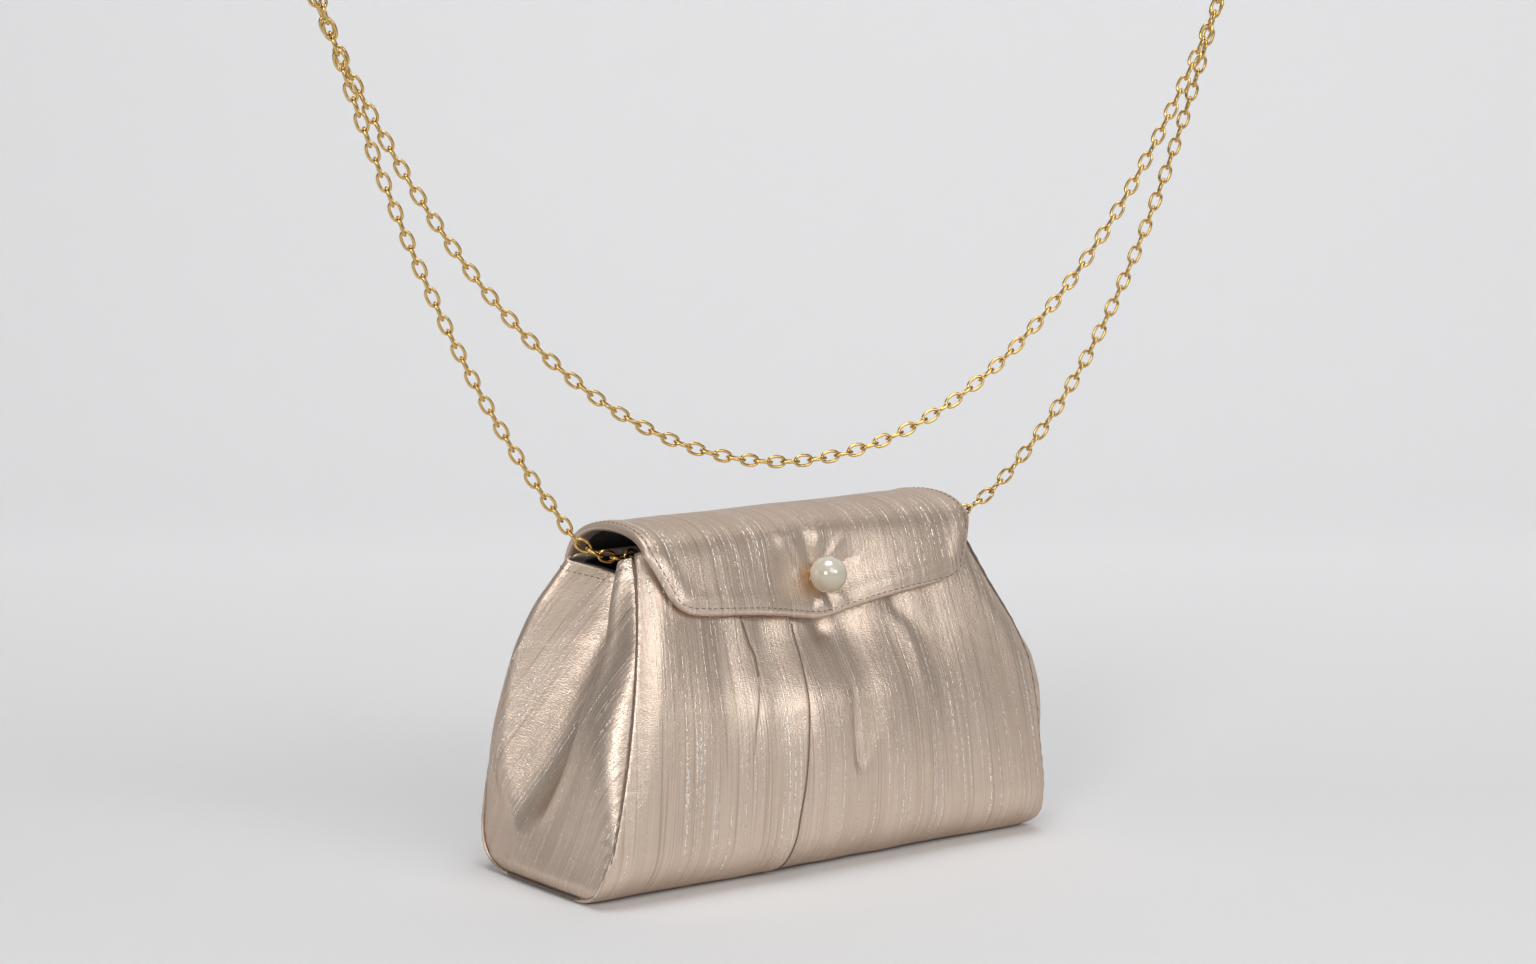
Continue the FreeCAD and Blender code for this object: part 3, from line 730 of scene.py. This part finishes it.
def tuck_shadow_thread(name, knots, low, high):
    """Dark thread line along the upper edge of a tuck, standing in for the shadow of the fold's edge: painted
    shadow.
    """
    z = np.linspace(low, high, 120)
    x = fold_line(z, knots)
    lip = front_relief(x - 0.5, z, 0.0 * z) + crown(x, z, FRONT)
    foot = 1.0 - np.minimum(z, FOOT_R) / FOOT_R
    rise = np.maximum(z - FOOT_R, 0.0) / FRONT.arc
    out = np.where(z < FOOT_R, np.sqrt(1.0 - foot ** 2), np.sqrt(1.0 - rise ** 2))
    up = np.where(z < FOOT_R, -foot, rise)
    path = np.array([x + 0.1, -wall_y(z, FRONT) - out * lip, z + up * lip]).T
    finished(tube(name, path, 0.3, THREAD), "bag", "silk")


# Dark thread lines on the tucks: painted shadow where each fold's edge lies over the cloth
tuck_shadow_thread("main_tuck_shadow_thread", TUCK_MAIN, 1.5, 98.0)
tuck_shadow_thread("left_tuck_shadow_thread", TUCK_LEFT, 80.0, 101.0)


def back_relief(x, z, run):
    waves = 0.4 * np.sin(x / 9.0 + 0.8) * np.sin(z / 27.0) + 0.3 * np.sin(x / 15.0 + z / 40.0 + 2.0)
    return waves * smooth(z, 4.0, 30.0) * (1.0 - smooth(z, 92.0, 104.0)) + edge_puckers(x, z, run, BACK, 2.1)


back = wall_panel("back_cloth", BACK, back_relief, np.linspace(-1.0, 1.0, 131), (), SILK, PANEL)
finished(back, "bag", "silk", "back_panel")

# Gussets: two puffed lobes and an inward fold that ends in a teardrop low down
RIDGE_FRONT = ((18.5, 14.9), (19.2, 11.6), (20.4, 8.8), (22.4, 5.6), (25.6, 2.0), (30.0, -2.0), (38.0, -7.6),
               (52.0, -14.0), (68.0, -18.0), (86.0, -20.5), (120.0, -16.5))
RIDGE_BACK = ((18.5, 15.1), (19.2, 17.6), (20.4, 19.4), (22.4, 21.2), (25.6, 23.2), (33.6, 26.0),
              (50.0, 27.6), (69.6, 27.0), (84.0, 25.4), (97.6, 22.5), (124.0, 13.0))
VALLEY = ((18.5, 15.0), (24.0, 14.5), (29.0, 12.0), (48.0, 4.5), (73.0, -0.5), (100.0, -3.0), (116.0, -3.48))
FOLD_DEPTH = ((0.0, 0.0), (18.5, 0.0), (20.0, 0.2), (23.0, 1.1), (27.0, 2.7), (33.0, 5.3), (48.0, 9.6),
              (73.0, 13.6), (100.0, 17.0), (116.0, 18.0), (130.0, 19.0))
HEM = ((-27.0, 129.4), (-21.4, 127.9), (-12.3, 124.2), (-7.5, 119.3), (-3.5, 116.3), (1.0, 117.2),
       (6.0, 120.2), (13.0, 123.6), (20.0, 125.4))
HEM_LIFT_FROM = 70.0
FRONT_INSET = 4.3
FOOT_INSET = 1.5
BACK_INSET = 2.0
GUSSET_THICK = 1.4
GUSSET_LINING = (3.2, 3.7)
SEAM_INSET = 0.5
FRONT_PUFF = {"left": 7.0, "right": 10.0}
BACK_PUFF = 7.0
LOBE_FRONT = 11.0
LOBE_BACK = 9.0
LOBE_TOP_PUFF = 2.0
CREASE_FRONT = (1.8, 3.6)
CREASE_BACK = (2.8, 4.6)
BELLY = 2.0
NARROWEST = 0.05
WEAVE_SLANT = math.radians(24.0)


def rounded_line(z, knots):
    """A fold's line with its corners rounded, but for its tip low down."""
    spread = 9.0 * smooth(z, 22.0, 44.0)
    shares = np.linspace(-1.0, 1.0, 9)
    return sum(fold_line(z + spread * s, knots) for s in shares) / len(shares)


def lobe(distance, size):
    """Rounded puff that is highest, 1, at its size from the seam."""
    share = distance / size
    return share * np.exp(1.0 - share)


def crease(offset, height, width):
    return height * np.exp(-(offset / width) ** 2)


def gusset_points(z_rows, p_columns, extra, side):
    """Outer face of a gusset, as on the left; extra moves it inwards for the lining."""
    right = side == "right"
    share = p_columns[None, :]
    zz = np.repeat(z_rows[:, None], len(p_columns), axis=1)
    for _ in range(3):
        near = -wall_y(zz, FRONT, FOOT_INSET + (FRONT_INSET - FOOT_INSET) * smooth(zz, *CORNER_EASE))
        far = wall_y(np.minimum(zz, BACK_H), BACK, BACK_INSET)
        yy = near + (far - near) * share
        lift = smooth(z_rows, HEM_LIFT_FROM, z_rows[-1])[:, None]
        zz = z_rows[:, None] + (fold_line(yy, HEM) - z_rows[-1]) * lift
    ridge_front = rounded_line(zz, RIDGE_FRONT)
    ridge_back = rounded_line(zz, RIDGE_BACK)
    valley = rounded_line(zz, VALLEY)
    ahead = np.clip((yy - ridge_front) / np.maximum(valley - ridge_front, NARROWEST), 0.0, 1.0)
    behind = np.clip((ridge_back - yy) / np.maximum(ridge_back - valley, NARROWEST), 0.0, 1.0)
    bowl = 0.5 - 0.5 * np.cos(math.pi * np.where(yy < valley, ahead, behind))
    fold = fold_line(zz, FOLD_DEPTH) * bowl
    rise = np.sin(math.pi * np.clip((zz - 8.0) / 104.0, 0.0, 1.0)) ** 2
    front_lobe = (FRONT_PUFF[side] * rise + LOBE_TOP_PUFF * smooth(zz, 92.0, 114.0)) \
        * lobe(np.maximum(yy - near, 0.0), LOBE_FRONT)
    back_rise = smooth(zz, 4.0, 64.0) * (1.0 - 0.4 * smooth(zz, 100.0, 122.0))
    lobes = front_lobe + BACK_PUFF * back_rise * lobe(np.maximum(far - yy, 0.0), LOBE_BACK)
    creases = smooth(zz, 20.0, 44.0) * (crease(yy - ridge_back, *CREASE_BACK)
                                        + crease(yy - ridge_front, *CREASE_FRONT))
    middle = 0.5 * (near + far)
    across = np.clip(np.abs(yy - middle) / (0.5 * (far - near)), 0.0, 1.0)
    belly = BELLY * (1.0 - across ** 2) * (1.0 - smooth(zz, 26.0, 70.0)) * smooth(zz, 0.0, 8.0)
    edge = np.minimum(yy - near, far - yy)
    wave = 0.12 * np.sin(zz / 0.85 + yy / 5.0) * np.exp(-edge / 3.0)
    sewn = SEAM_INSET + SEAM_INSET * np.exp(-edge / 0.8)
    wide = half_width(zz) + (1.0 - share) * seam_swell(zz, FRONT, right) + share * seam_swell(zz, BACK, right)
    x = -(wide - fold + lobes + creases + belly - foot_tuck(zz) - sewn + wave - extra)
    return grid(x, yy, zz)


def gusset(side):
    """Cloth and lining of one gusset; gives the cloth's face and normals for its stitches."""
    z_rows = np.concatenate([np.linspace(1.9, 19.0, 18), np.linspace(19.6, 29.0, 20),
                             np.linspace(30.0, 121.6, 80)])
    s = np.linspace(0.0, 1.0, 121)
    p_columns = 0.5 * s + 0.25 * (1.0 - np.cos(math.pi * s))
    outer = gusset_points(z_rows, p_columns, 0.0, side)
    normal = grid_normals(outer)
    normal = normal * np.where(normal[:, :, :1] > 0.0, -1.0, 1.0)
    inner = outer - normal * GUSSET_THICK
    across = outer[:, :, 1] * math.cos(WEAVE_SLANT) + outer[:, :, 2] * math.sin(WEAVE_SLANT)
    along = -outer[:, :, 1] * math.sin(WEAVE_SLANT) + outer[:, :, 2] * math.cos(WEAVE_SLANT)
    flip = np.array([-SIGN[side], 1.0, 1.0])
    piece = shell(side + "_gusset_cloth", outer * flip, inner * flip, grid(across, along), SILK)
    finished(piece, "bag", "silk", side + "_gusset")
    face, back_face = (gusset_points(np.linspace(7.0, 121.0, 60), np.linspace(0.03, 0.97, 61), extra, side)
                       for extra in GUSSET_LINING)
    cut = grid(face[:, :, 1], face[:, :, 2])
    inside = shell(side + "_gusset_satin", face * flip, back_face * flip, cut, LINING)
    finished(inside, "bag", "lining", side + "_gusset_lining")
    return outer * flip, normal * flip


gussets = {side: gusset(side) for side in SIGN}

# Linings of the two walls, the slip pocket and the base
for name, wall, node in (("front_satin", FRONT, "front_lining"), ("back_satin", BACK, "back_lining")):
    satin = wall_panel(name, wall, None, np.linspace(-1.0, 1.0, 61), (), LINING, LINING_THICK, LINING_INSET,
                       LINING_FOOT)
    finished(satin, "bag", "lining", node)

POCKET_HALF = 45.0
POCKET_LOW = 35.0
POCKET_TOP = 94.0
POCKET_STAND = 4.75
POCKET_THICK = 0.45


def pocket():
    """Slip pocket on the back lining, whose mouth gapes and sags a little."""
    xx, zz = np.meshgrid(np.linspace(-POCKET_HALF, POCKET_HALF, 61), np.linspace(POCKET_LOW, POCKET_TOP, 40))
    loose = 1.0 - (xx / POCKET_HALF) ** 2
    gape = 1.1 * smooth(zz, 60.0, POCKET_TOP) * loose ** 2
    sag = 0.8 * smooth(zz, 84.0, POCKET_TOP) * loose
    yy = wall_y(zz, BACK) + crown(xx, zz, BACK) - POCKET_STAND - gape
    outer = grid(xx, yy, zz - sag)
    inner = outer - np.array([0.0, POCKET_THICK, 0.0])
    return shell("slip_pocket", outer, inner, grid(xx, zz), LINING)


finished(pocket(), "bag", "lining", "inner_pocket")
BASE_SHEET_Y = 24.1


def base_sheet(name, x_half, low, high, material, sag, end_lift):
    xx, yy = np.meshgrid(np.linspace(-x_half, x_half, 81), np.linspace(-BASE_SHEET_Y, BASE_SHEET_Y, 25))
    dish = sag * np.cos(0.5 * math.pi * xx / x_half) * np.cos(0.5 * math.pi * yy / BASE_SHEET_Y)
    ends = end_lift * smooth(np.abs(xx), x_half - CORNER_RUN, x_half)
    lower = grid(xx, yy, low + dish + ends)
    upper = grid(xx, yy, high + dish * 0.3 + 0.3 * ends)
    return shell(name, lower, upper, grid(yy, xx), material, rim=0.2)


finished(base_sheet("base_cloth", 106.6, 0.0, 2.9, SILK, 0.25, 1.3), "bag", "silk", "base_panel")
finished(base_sheet("base_satin", 106.0, 4.95, 5.45, LINING, 0.0, 0.0), "bag", "lining", "base_lining")


# Flap: one arched piece with rolled edges, drawn in at the pearl
def clamped_spline(points, first, last, steps):
    """Smooth line through points with given directions at its ends."""
    points = np.asarray(points, float)
    knots = run_along(points)
    gaps = np.diff(knots)
    n = len(points)
    matrix = np.zeros((n, n))
    right = np.zeros((n, 2))
    matrix[0, 0] = matrix[-1, -1] = 1.0
    right[0] = first
    right[-1] = last
    for i in range(1, n - 1):
        a, b = gaps[i - 1], gaps[i]
        matrix[i, i - 1:i + 2] = b, 2.0 * (a + b), a
        right[i] = 3.0 * (b * (points[i] - points[i - 1]) / a + a * (points[i + 1] - points[i]) / b)
    slopes = np.linalg.solve(matrix, right)
    out = []
    for t in np.linspace(0.0, knots[-1], steps):
        i = min(int(np.searchsorted(knots, t, side="right")) - 1, n - 2)
        h = gaps[i]
        s = (t - knots[i]) / h
        out.append((1 + 2 * s) * (1 - s) ** 2 * points[i] + s * (1 - s) ** 2 * h * slopes[i]
                   + s * s * (3 - 2 * s) * points[i + 1] + s * s * (s - 1) * h * slopes[i + 1])
    return np.array(out)


def front_normal(z):
    """Outward direction of the front at a height, as (y, z)."""
    sine = (z - FOOT_R) / FRONT.arc
    return np.array([-math.sqrt(1.0 - sine * sine), sine])


def over_front(z):
    return np.array([-float(wall_y(z, FRONT)), z]) + FLAP_STAND * front_normal(z)


HINGE = (29.65, 112.4)
BACK_STANDOFF = 8.0
CREST_Y = -4.0
LIP_LOW_Z = 97.8
back_normal = np.array([math.cos(BACK.sweep), math.sin(BACK.sweep)])
back_top = np.array([BACK_REACH, BACK_H]) + BACK_STANDOFF * back_normal
lip_normal = front_normal(LIP_LOW_Z)
flap_line = clamped_spline(
    [HINGE, back_top, (CREST_Y, CREST_Z), *(over_front(z) for z in (FRONT_H, PEARL_Z, 103.4, LIP_LOW_Z))],
    (0.0, 1.0), (-lip_normal[1], lip_normal[0]), 420)
flap_run = run_along(flap_line)
slope = np.gradient(flap_line, axis=0)
slope = slope / np.linalg.norm(slope, axis=1, keepdims=True)
flap_normal = np.array([slope[:, 1], -slope[:, 0]]).T
crest_index = int(np.argmax(flap_line[:, 1]))

# The lip's height by its distance from the middle, and how much higher its right end is
LIP = ((0.0, 99.6), (4.0, 100.0), (9.0, 100.8), (18.0, 102.3), (30.0, 103.9), (45.0, 105.3), (55.0, 106.2),
       (60.0, 106.8), (63.5, 107.7), (66.2, 109.3), (68.0, 111.8), (68.9, 115.0))
LIP_TILT = 0.012
ROLL_R = 1.7
ROLL_SHARE = 0.85
STITCH_LINE = 2.4
PUCKER_SHARE = 0.7
PUCKER_Z = 114.2
# Folds round the pearl: place, direction, length, width and height of each
PUCKERS = (
    (-12.5, 15.0, 0.5, -0.87, 9.0, 3.2, 1.1),
    (-8.5, 5.0, 0.2, -0.98, 6.0, 1.7, 0.8),
    (-10.0, 9.5, 0.4, -0.92, 8.0, 1.4, -1.1),
    (2.5, 15.0, -0.1, -1.0, 9.0, 2.3, 0.9),
    (-3.2, 14.0, 0.15, -0.99, 9.0, 1.7, -0.8),
    (9.0, 9.5, -0.7, -0.71, 7.0, 2.2, 0.8),
    (13.0, 5.0, -0.95, -0.3, 7.0, 1.8, -0.6),
    (-4.6, -10.5, 0.35, 0.94, 5.0, 1.4, -0.9),
    (0.4, -11.0, 0.0, 1.0, 5.0, 1.5, 0.8),
    (4.6, -10.5, -0.3, 0.95, 5.0, 1.4, -0.8),
    (9.5, -9.0, -0.6, 0.8, 5.0, 1.8, 0.5),
)


def puckered(x, rise):
    total = 0.0 * x
    for px, pz, dx, dz, length, width, height in PUCKERS:
        along = (x - px) * dx + (rise - pz) * dz
        aside = (x - px) * dz - (rise - pz) * dx
        total = total + PUCKER_SHARE * height * np.exp(-(along / length) ** 2 - (aside / width) ** 2)
    return total


def flap_surface():
    """Both faces of the flap, its cloth map, distance from its edge and the direction out of it."""
    u = np.sin(np.linspace(-0.5 * math.pi, 0.5 * math.pi, 151)) * 0.35 + np.linspace(-1.0, 1.0, 151) * 0.65
    v = np.linspace(0.0, 1.0, 150)
    front_z = flap_line[crest_index:, 1][::-1]
    front_run = flap_run[crest_index:][::-1]
    lip_z = fold_line(np.abs(u) * FLAP_LIP_HALF, LIP) + LIP_TILT * u * FLAP_LIP_HALF
    ends = np.interp(lip_z, front_z, front_run)
    run = v[:, None] * ends[None, :]
    y, z, ny, nz = (np.interp(run, flap_run, line) for line in (*flap_line.T, *flap_normal.T))
    taper = np.where(y > 0.0, 0.0, np.maximum(FRONT_H - z, 0.0) / (FRONT_H - FLAP_CORNER_Z))
    reach = FLAP_HALF - (FLAP_HALF - FLAP_LIP_HALF) * np.minimum(taper, 1.15)
    x = u[None, :] * reach
    drawn = np.where(y > 0.0, 0.0, smooth(CREST_Z - z, 0.0, CREST_Z - PEARL_Z - FLAP_DENT_RISE))
    sink = FLAP_DENT * drawn * np.exp(-(x / FLAP_DENT_WIDTH) ** 2)
    edge = np.minimum(reach - np.abs(x), ends[None, :] - run)
    rolled = ROLL_R - np.sqrt(np.maximum(ROLL_R ** 2 - (ROLL_R - edge) ** 2, 0.0))
    roll = np.where(edge < ROLL_R, rolled, 0.0) * ROLL_SHARE
    groove = 0.16 * np.exp(-((edge - STITCH_LINE) / 0.4) ** 2)
    plump = 0.6 * np.exp(-((edge - 6.0) / 3.6) ** 2)
    rise = np.interp(PUCKER_Z, front_z, front_run) - run
    near_pearl = 1.0 - np.exp(-(np.hypot(x, rise) / 5.5) ** 6)
    waves = 0.22 * np.sin(x / 8.5 + 0.7 + run / 60.0) * smooth(run, 10.0, 60.0)
    wrinkle = (puckered(x, rise) * near_pearl + waves) * smooth(edge, 1.0, 5.0)
    lift = -sink - roll - groove + plump + wrinkle
    normal = grid(x * 0.0, ny, nz)
    base = grid(x, y, z)
    outer = base + normal * lift[:, :, None]
    inner = base + normal * (-sink - FLAP_THICK + 0.8 * roll)[:, :, None]
    return outer, inner, grid(x, run), edge, normal


flap_outer, flap_inner, flap_uv, flap_edge, flap_up = flap_surface()
flap = shell("flap_silk", flap_outer, flap_inner, flap_uv, SILK, rim=0.3)
finished(flap, "flap", "silk", "flap_cloth", "flap_board")
# Lining under the flap, near black: partly the lining's own dark colour, partly painted shade that falls
# under the flap
within = (slice(4, -7), slice(9, -9))
satin_face, satin_back = (flap_inner[within] - gap * flap_up[within] for gap in (0.05, 0.45))
flap_satin_and_shade = shell("flap_satin_and_shade", satin_face, satin_back, flap_uv[within], LINING)
finished(flap_satin_and_shade, "flap", "lining", "flap_lining")

# Stitches: short threads, thin at both ends, along a line
STITCH_SIDES = 6
STITCH_SHARES = (0.0, 0.2, 0.5, 0.8, 1.0)


def stitches(name, points, normals, length, gap, radius, body, sink):
    points = np.asarray(points, float)
    normals = np.asarray(normals, float)
    run = run_along(points)
    made = []
    start = gap
    while start + length < run[-1] - gap:
        stations = []
        for share in STITCH_SHARES:
            s = start + length * share
            spot, up = (np.array([np.interp(s, run, line[:, k]) for k in range(3)])
                        for line in (points, normals))
            up = unit(up)
            arch = math.sin(math.pi * share)
            stations.append((spot + up * (radius * (0.9 * arch) - sink), up, radius * (0.35 + 0.65 * arch)))
        along = unit(stations[-1][0] - stations[0][0])
        verts = []
        for spot, up, r in stations:
            verts += circle(spot, r, np.cross(along, up), up, STITCH_SIDES)
        made.append((verts, tube_faces(len(STITCH_SHARES), STITCH_SIDES, False)))
        start += length + gap
    obj = new_object(name, *joined(made), None, THREAD)
    return finished(obj, body, "silk")


def edge_track(distance):
    """Line on the flap at one distance from its edge, from the left hinge end round to the right."""
    n, m, _ = flap_outer.shape
    track = []
    normals = []
    half = m // 2
    for i in range(4, n - 1):
        row = flap_edge[i, :half]
        if row.max() < distance:
            break
        j = int(np.argmax(row >= distance))
        if j == 0:
            continue
        t = (distance - row[j - 1]) / (row[j] - row[j - 1])
        track.append(flap_outer[i, j - 1] * (1 - t) + flap_outer[i, j] * t)
        normals.append(flap_up[i, j])
    last = track[-1]
    for j in range(half):
        column = flap_edge[:, j]
        inside = np.where(column >= distance)[0]
        if len(inside) == 0:
            continue
        i = inside[-1]
        if i >= n - 1 or flap_outer[i, j][0] <= last[0]:
            continue
        t = (column[i] - distance) / max(column[i] - column[i + 1], TINY)
        track.append(flap_outer[i, j] * (1 - t) + flap_outer[i + 1, j] * t)
        normals.append(flap_up[i, j])
    mirror = [p * np.array([-1.0, 1.0, 1.0]) for p in track[::-1]]
    return np.array(track + mirror), np.array(normals + normals[::-1])


stitches("flap_stitches", *edge_track(STITCH_LINE), 2.1, 0.75, 0.17, "flap", 0.05)

# Hem stitches of each gusset, and the thread of the seam round its edge
SEAM_THREAD_R = 0.5
SEAM_OUT = 0.45
for side, (outer, normal) in gussets.items():
    out = SIGN[side] * SEAM_OUT
    stitches(side + "_hem_stitches", outer[-4, 5:-5], normal[-4, 5:-5], 1.7, 0.6, 0.16, "bag", 0.0)
    ahead = [outer[i, 0] + np.array([out, -0.9, 0.0]) for i in range(len(outer) - 2, 0, -2)]
    foot = [outer[0, j] + np.array([out, 0.0, -0.4]) for j in range(0, outer.shape[1], 3)]
    behind = [outer[i, -1] + np.array([0.0, 0.35, 0.0]) for i in range(2, len(outer) - 1, 2)]
    finished(tube(side + "_seam_thread", ahead + foot + behind, SEAM_THREAD_R, THREAD), "bag", "silk")

# The strip that the flap is sewn to, on the back
STRIP_HALF = 76.6
STRIP_LOW = 101.4
STRIP_HEIGHT = 8.9
STRIP_STAND = 0.25
sx, sz = np.meshgrid(np.linspace(-STRIP_HALF, STRIP_HALF, 121),
                     np.linspace(STRIP_LOW, STRIP_LOW + STRIP_HEIGHT, 14))
sy = wall_y(sz, BACK) + STRIP_STAND
puff = 1.0 + 0.2 * np.sin(sx / 2.4) * np.sin(math.pi * (sz - STRIP_LOW) / STRIP_HEIGHT)
seam_strip = shell("seam_strip_cloth", grid(sx, sy + puff, sz), grid(sx, sy, sz),
                   grid(sx, sz), SILK, rim=0.2)
finished(seam_strip, "bag", "silk", "flap_seam_strip")

# Strap tabs: a strip of cloth folded round each D-ring's bar
TAB_THICK = 1.2


def strap_tab(side):
    low, high = box_mm(side + "_strap_tab")
    sign = SIGN[side]
    inner_x = high[0] if side == "left" else low[0]
    radius = 0.5 * (high[0] - low[0])
    centre_x = inner_x + sign * radius
    centre_z = high[2] - radius
    ys = np.linspace(low[1], high[1], 9)

    def face(inset):
        line = [(inner_x + sign * inset, z) for z in np.linspace(low[2], centre_z, 18)]
        r = radius - inset
        line += [(centre_x - sign * r * math.cos(t), centre_z + r * math.sin(t))
                 for t in np.linspace(0.12, 1.5 * math.pi, 22)]
        return np.array([[(x, y, z) for y in ys] for x, z in line])

    outer = face(0.0)
    uv = np.array([[(y, 3.0 * k) for y in ys] for k in range(len(outer))])
    tab = shell(side + "_tab_cloth", outer, face(TAB_THICK), uv, SILK, rim=0.15)
    finished(tab, "bag", "silk", side + "_strap_tab")


for side in SIGN:
    strap_tab(side)

# Pearl and its cup
low, high = box_mm("pearl")
pearl_centre = 0.5 * (low + high)
pearl_radius = 0.5 * (high[0] - low[0])
pearl_axis = np.array([0.0, *front_normal(PEARL_Z)])
pearl_up = np.cross(pearl_axis, RIGHTWARD)
BORE_ANGLE = 0.13
BORE_R = 0.88


def revolve(name, outline, around, material):
    """Turned shape about the pearl's axis; the outline gives radius and place along the axis."""
    verts = []
    for out in circle(0.0, 1.0, RIGHTWARD, pearl_up, around):
        verts += [pearl_centre + out * r + pearl_axis * a for r, a in outline]
    return new_object(name, verts, tube_faces(around, len(outline), True), None, material)


ball = [(pearl_radius * math.sin(t) * (1.0 + 0.004 * math.sin(3.0 * t)), -pearl_radius * math.cos(t))
        for t in np.linspace(BORE_ANGLE, math.pi - 0.004, 56)]
ball += [(0.05, 2.0), (0.85, 1.6), (BORE_R, -pearl_radius * math.cos(BORE_ANGLE) + 0.3)]
finished(revolve("pearl_bead", ball, 72, PEARL), "flap", "pearl", "pearl")
CUP_GAP = 0.55
# Radius of the cup and height above its back, round its outline
CUP = ((0.95, 0.0), (3.2, 0.0), (4.3, 0.9), (5.3, 2.2), (5.45, 2.45), (5.3, 2.6), (5.0, 2.5), (4.0, 1.45),
       (2.5, 0.72), (0.95, 0.5))
cup = [(r, -pearl_radius - CUP_GAP + height) for r, height in CUP]
finished(revolve("pearl_seat", cup, 60, GOLD), "flap", "gold", "pearl_cup")

# Hardware and board that keep their own solids
for node, material in (("pearl_post", GOLD), ("flap_magnet", STEEL), ("front_magnet", STEEL),
                       ("magnet_washer", STEEL), ("base_board", BOARD)):
    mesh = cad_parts[node].data
    mesh.materials.clear()
    mesh.materials.append(material)

# Stage, light and camera
STAGE_FORWARD = (0.5968, 0.8024)
STAGE_HALF = 4200.0
STAGE_NEAR = -2600.0
STAGE_BEND = 900.0
STAGE_TOP = 4200.0
WALL_GLOW = 0.15
GLOW = (0.1, 0.7)


def stage_material():
    """Pale paper; the camera and reflections see its far part a little brighter than the lamps make it."""
    material, tree, bsdf = shader("paper")
    direction = {0: object_place(tree), 1: (*STAGE_FORWARD, 0.0)}
    away = add_node(tree, "VectorMath", direction, operation="DOT_PRODUCT")["Value"]
    glow = remap(away, *GLOW, 0.0, WALL_GLOW)
    ray = add_node(tree, "LightPath", {})
    seen = maths("ADD", ray["Is Camera Ray"],
                 maths("ADD", ray["Is Glossy Ray"], ray["Is Transmission Ray"]))
    plug(bsdf, {
        "Base Color": (0.82, 0.82, 0.825, 1.0),
        "Roughness": 0.8,
        "Emission Color": (0.98, 0.98, 1.0, 1.0),
        "Emission Strength": maths("MULTIPLY", glow, seen),
    })
    return material


def backdrop():
    """Floor that bends up into a wall behind the bag."""
    forward = np.array(STAGE_FORWARD)
    across = np.array([forward[1], -forward[0]])
    profile = [(STAGE_NEAR, 0.0), (STAGE_BEND, 0.0)]
    profile += [(STAGE_BEND + STAGE_BEND * math.sin(t), STAGE_BEND - STAGE_BEND * math.cos(t))
                for t in np.linspace(0.06, 1.5, 30)]
    profile += [(profile[-1][0], STAGE_TOP)]
    verts = []
    for distance, z in profile:
        for w in (-STAGE_HALF, STAGE_HALF):
            spot = forward * distance + across * w
            verts.append((spot[0], spot[1], z))
    faces = [(2 * i, 2 * i + 1, 2 * i + 3, 2 * i + 2) for i in range(len(profile) - 1)]
    return new_object("paper_sweep", verts, faces, None, stage_material())


backdrop()

AIM = Vector((0.0, 0.0, 0.09))
CAMERA_PLACE = (-0.80908, -1.0863, 0.3411)
CAMERA_AZ = math.radians(-36.65)
CAMERA_EL = math.radians(8.15)
CAMERA_LENS = 81.84
WORLD_COLOUR = (0.93, 0.94, 0.97, 1.0)
WORLD_LIGHT = 0.11


def lamp(name, turn, rise, distance, size, power):
    """Softbox placed by its angle from the camera's own direction."""
    az = CAMERA_AZ + math.radians(turn)
    el = math.radians(rise)
    place = AIM + distance * Vector((math.sin(az) * math.cos(el), -math.cos(az) * math.cos(el), math.sin(el)))
    light = bpy.data.lights.new(name, "AREA")
    light.shape = "DISK"
    light.size = size
    light.energy = power
    obj = bpy.data.objects.new(name, light)
    obj.location = place
    obj.rotation_euler = (place - AIM).to_track_quat("Z", "Y").to_euler()
    scene.collection.objects.link(obj)


lamp("key_left", -17.0, 20.0, 3.2, 1.0, 28.0)
lamp("key_front", 27.0, 34.0, 3.2, 1.8, 18.0)
lamp("key_right", 50.0, 23.0, 3.2, 1.1, 16.0)
lamp("overhead", 10.0, 84.0, 2.4, 1.7, 28.0)
world = bpy.data.worlds.new("studio")
world.use_nodes = True
plug(world.node_tree.nodes["Background"], {"Color": WORLD_COLOUR, "Strength": WORLD_LIGHT})
scene.world = world
scene.view_settings.view_transform = "Standard"

camera = bpy.data.cameras.new("view")
camera.sensor_width = 36.0
camera.lens = CAMERA_LENS
camera.clip_end = 20.0
eye = bpy.data.objects.new("view", camera)
eye.location = CAMERA_PLACE
eye.rotation_euler = (math.pi / 2.0 - CAMERA_EL, 0.0, CAMERA_AZ)
scene.collection.objects.link(eye)
scene.camera = eye
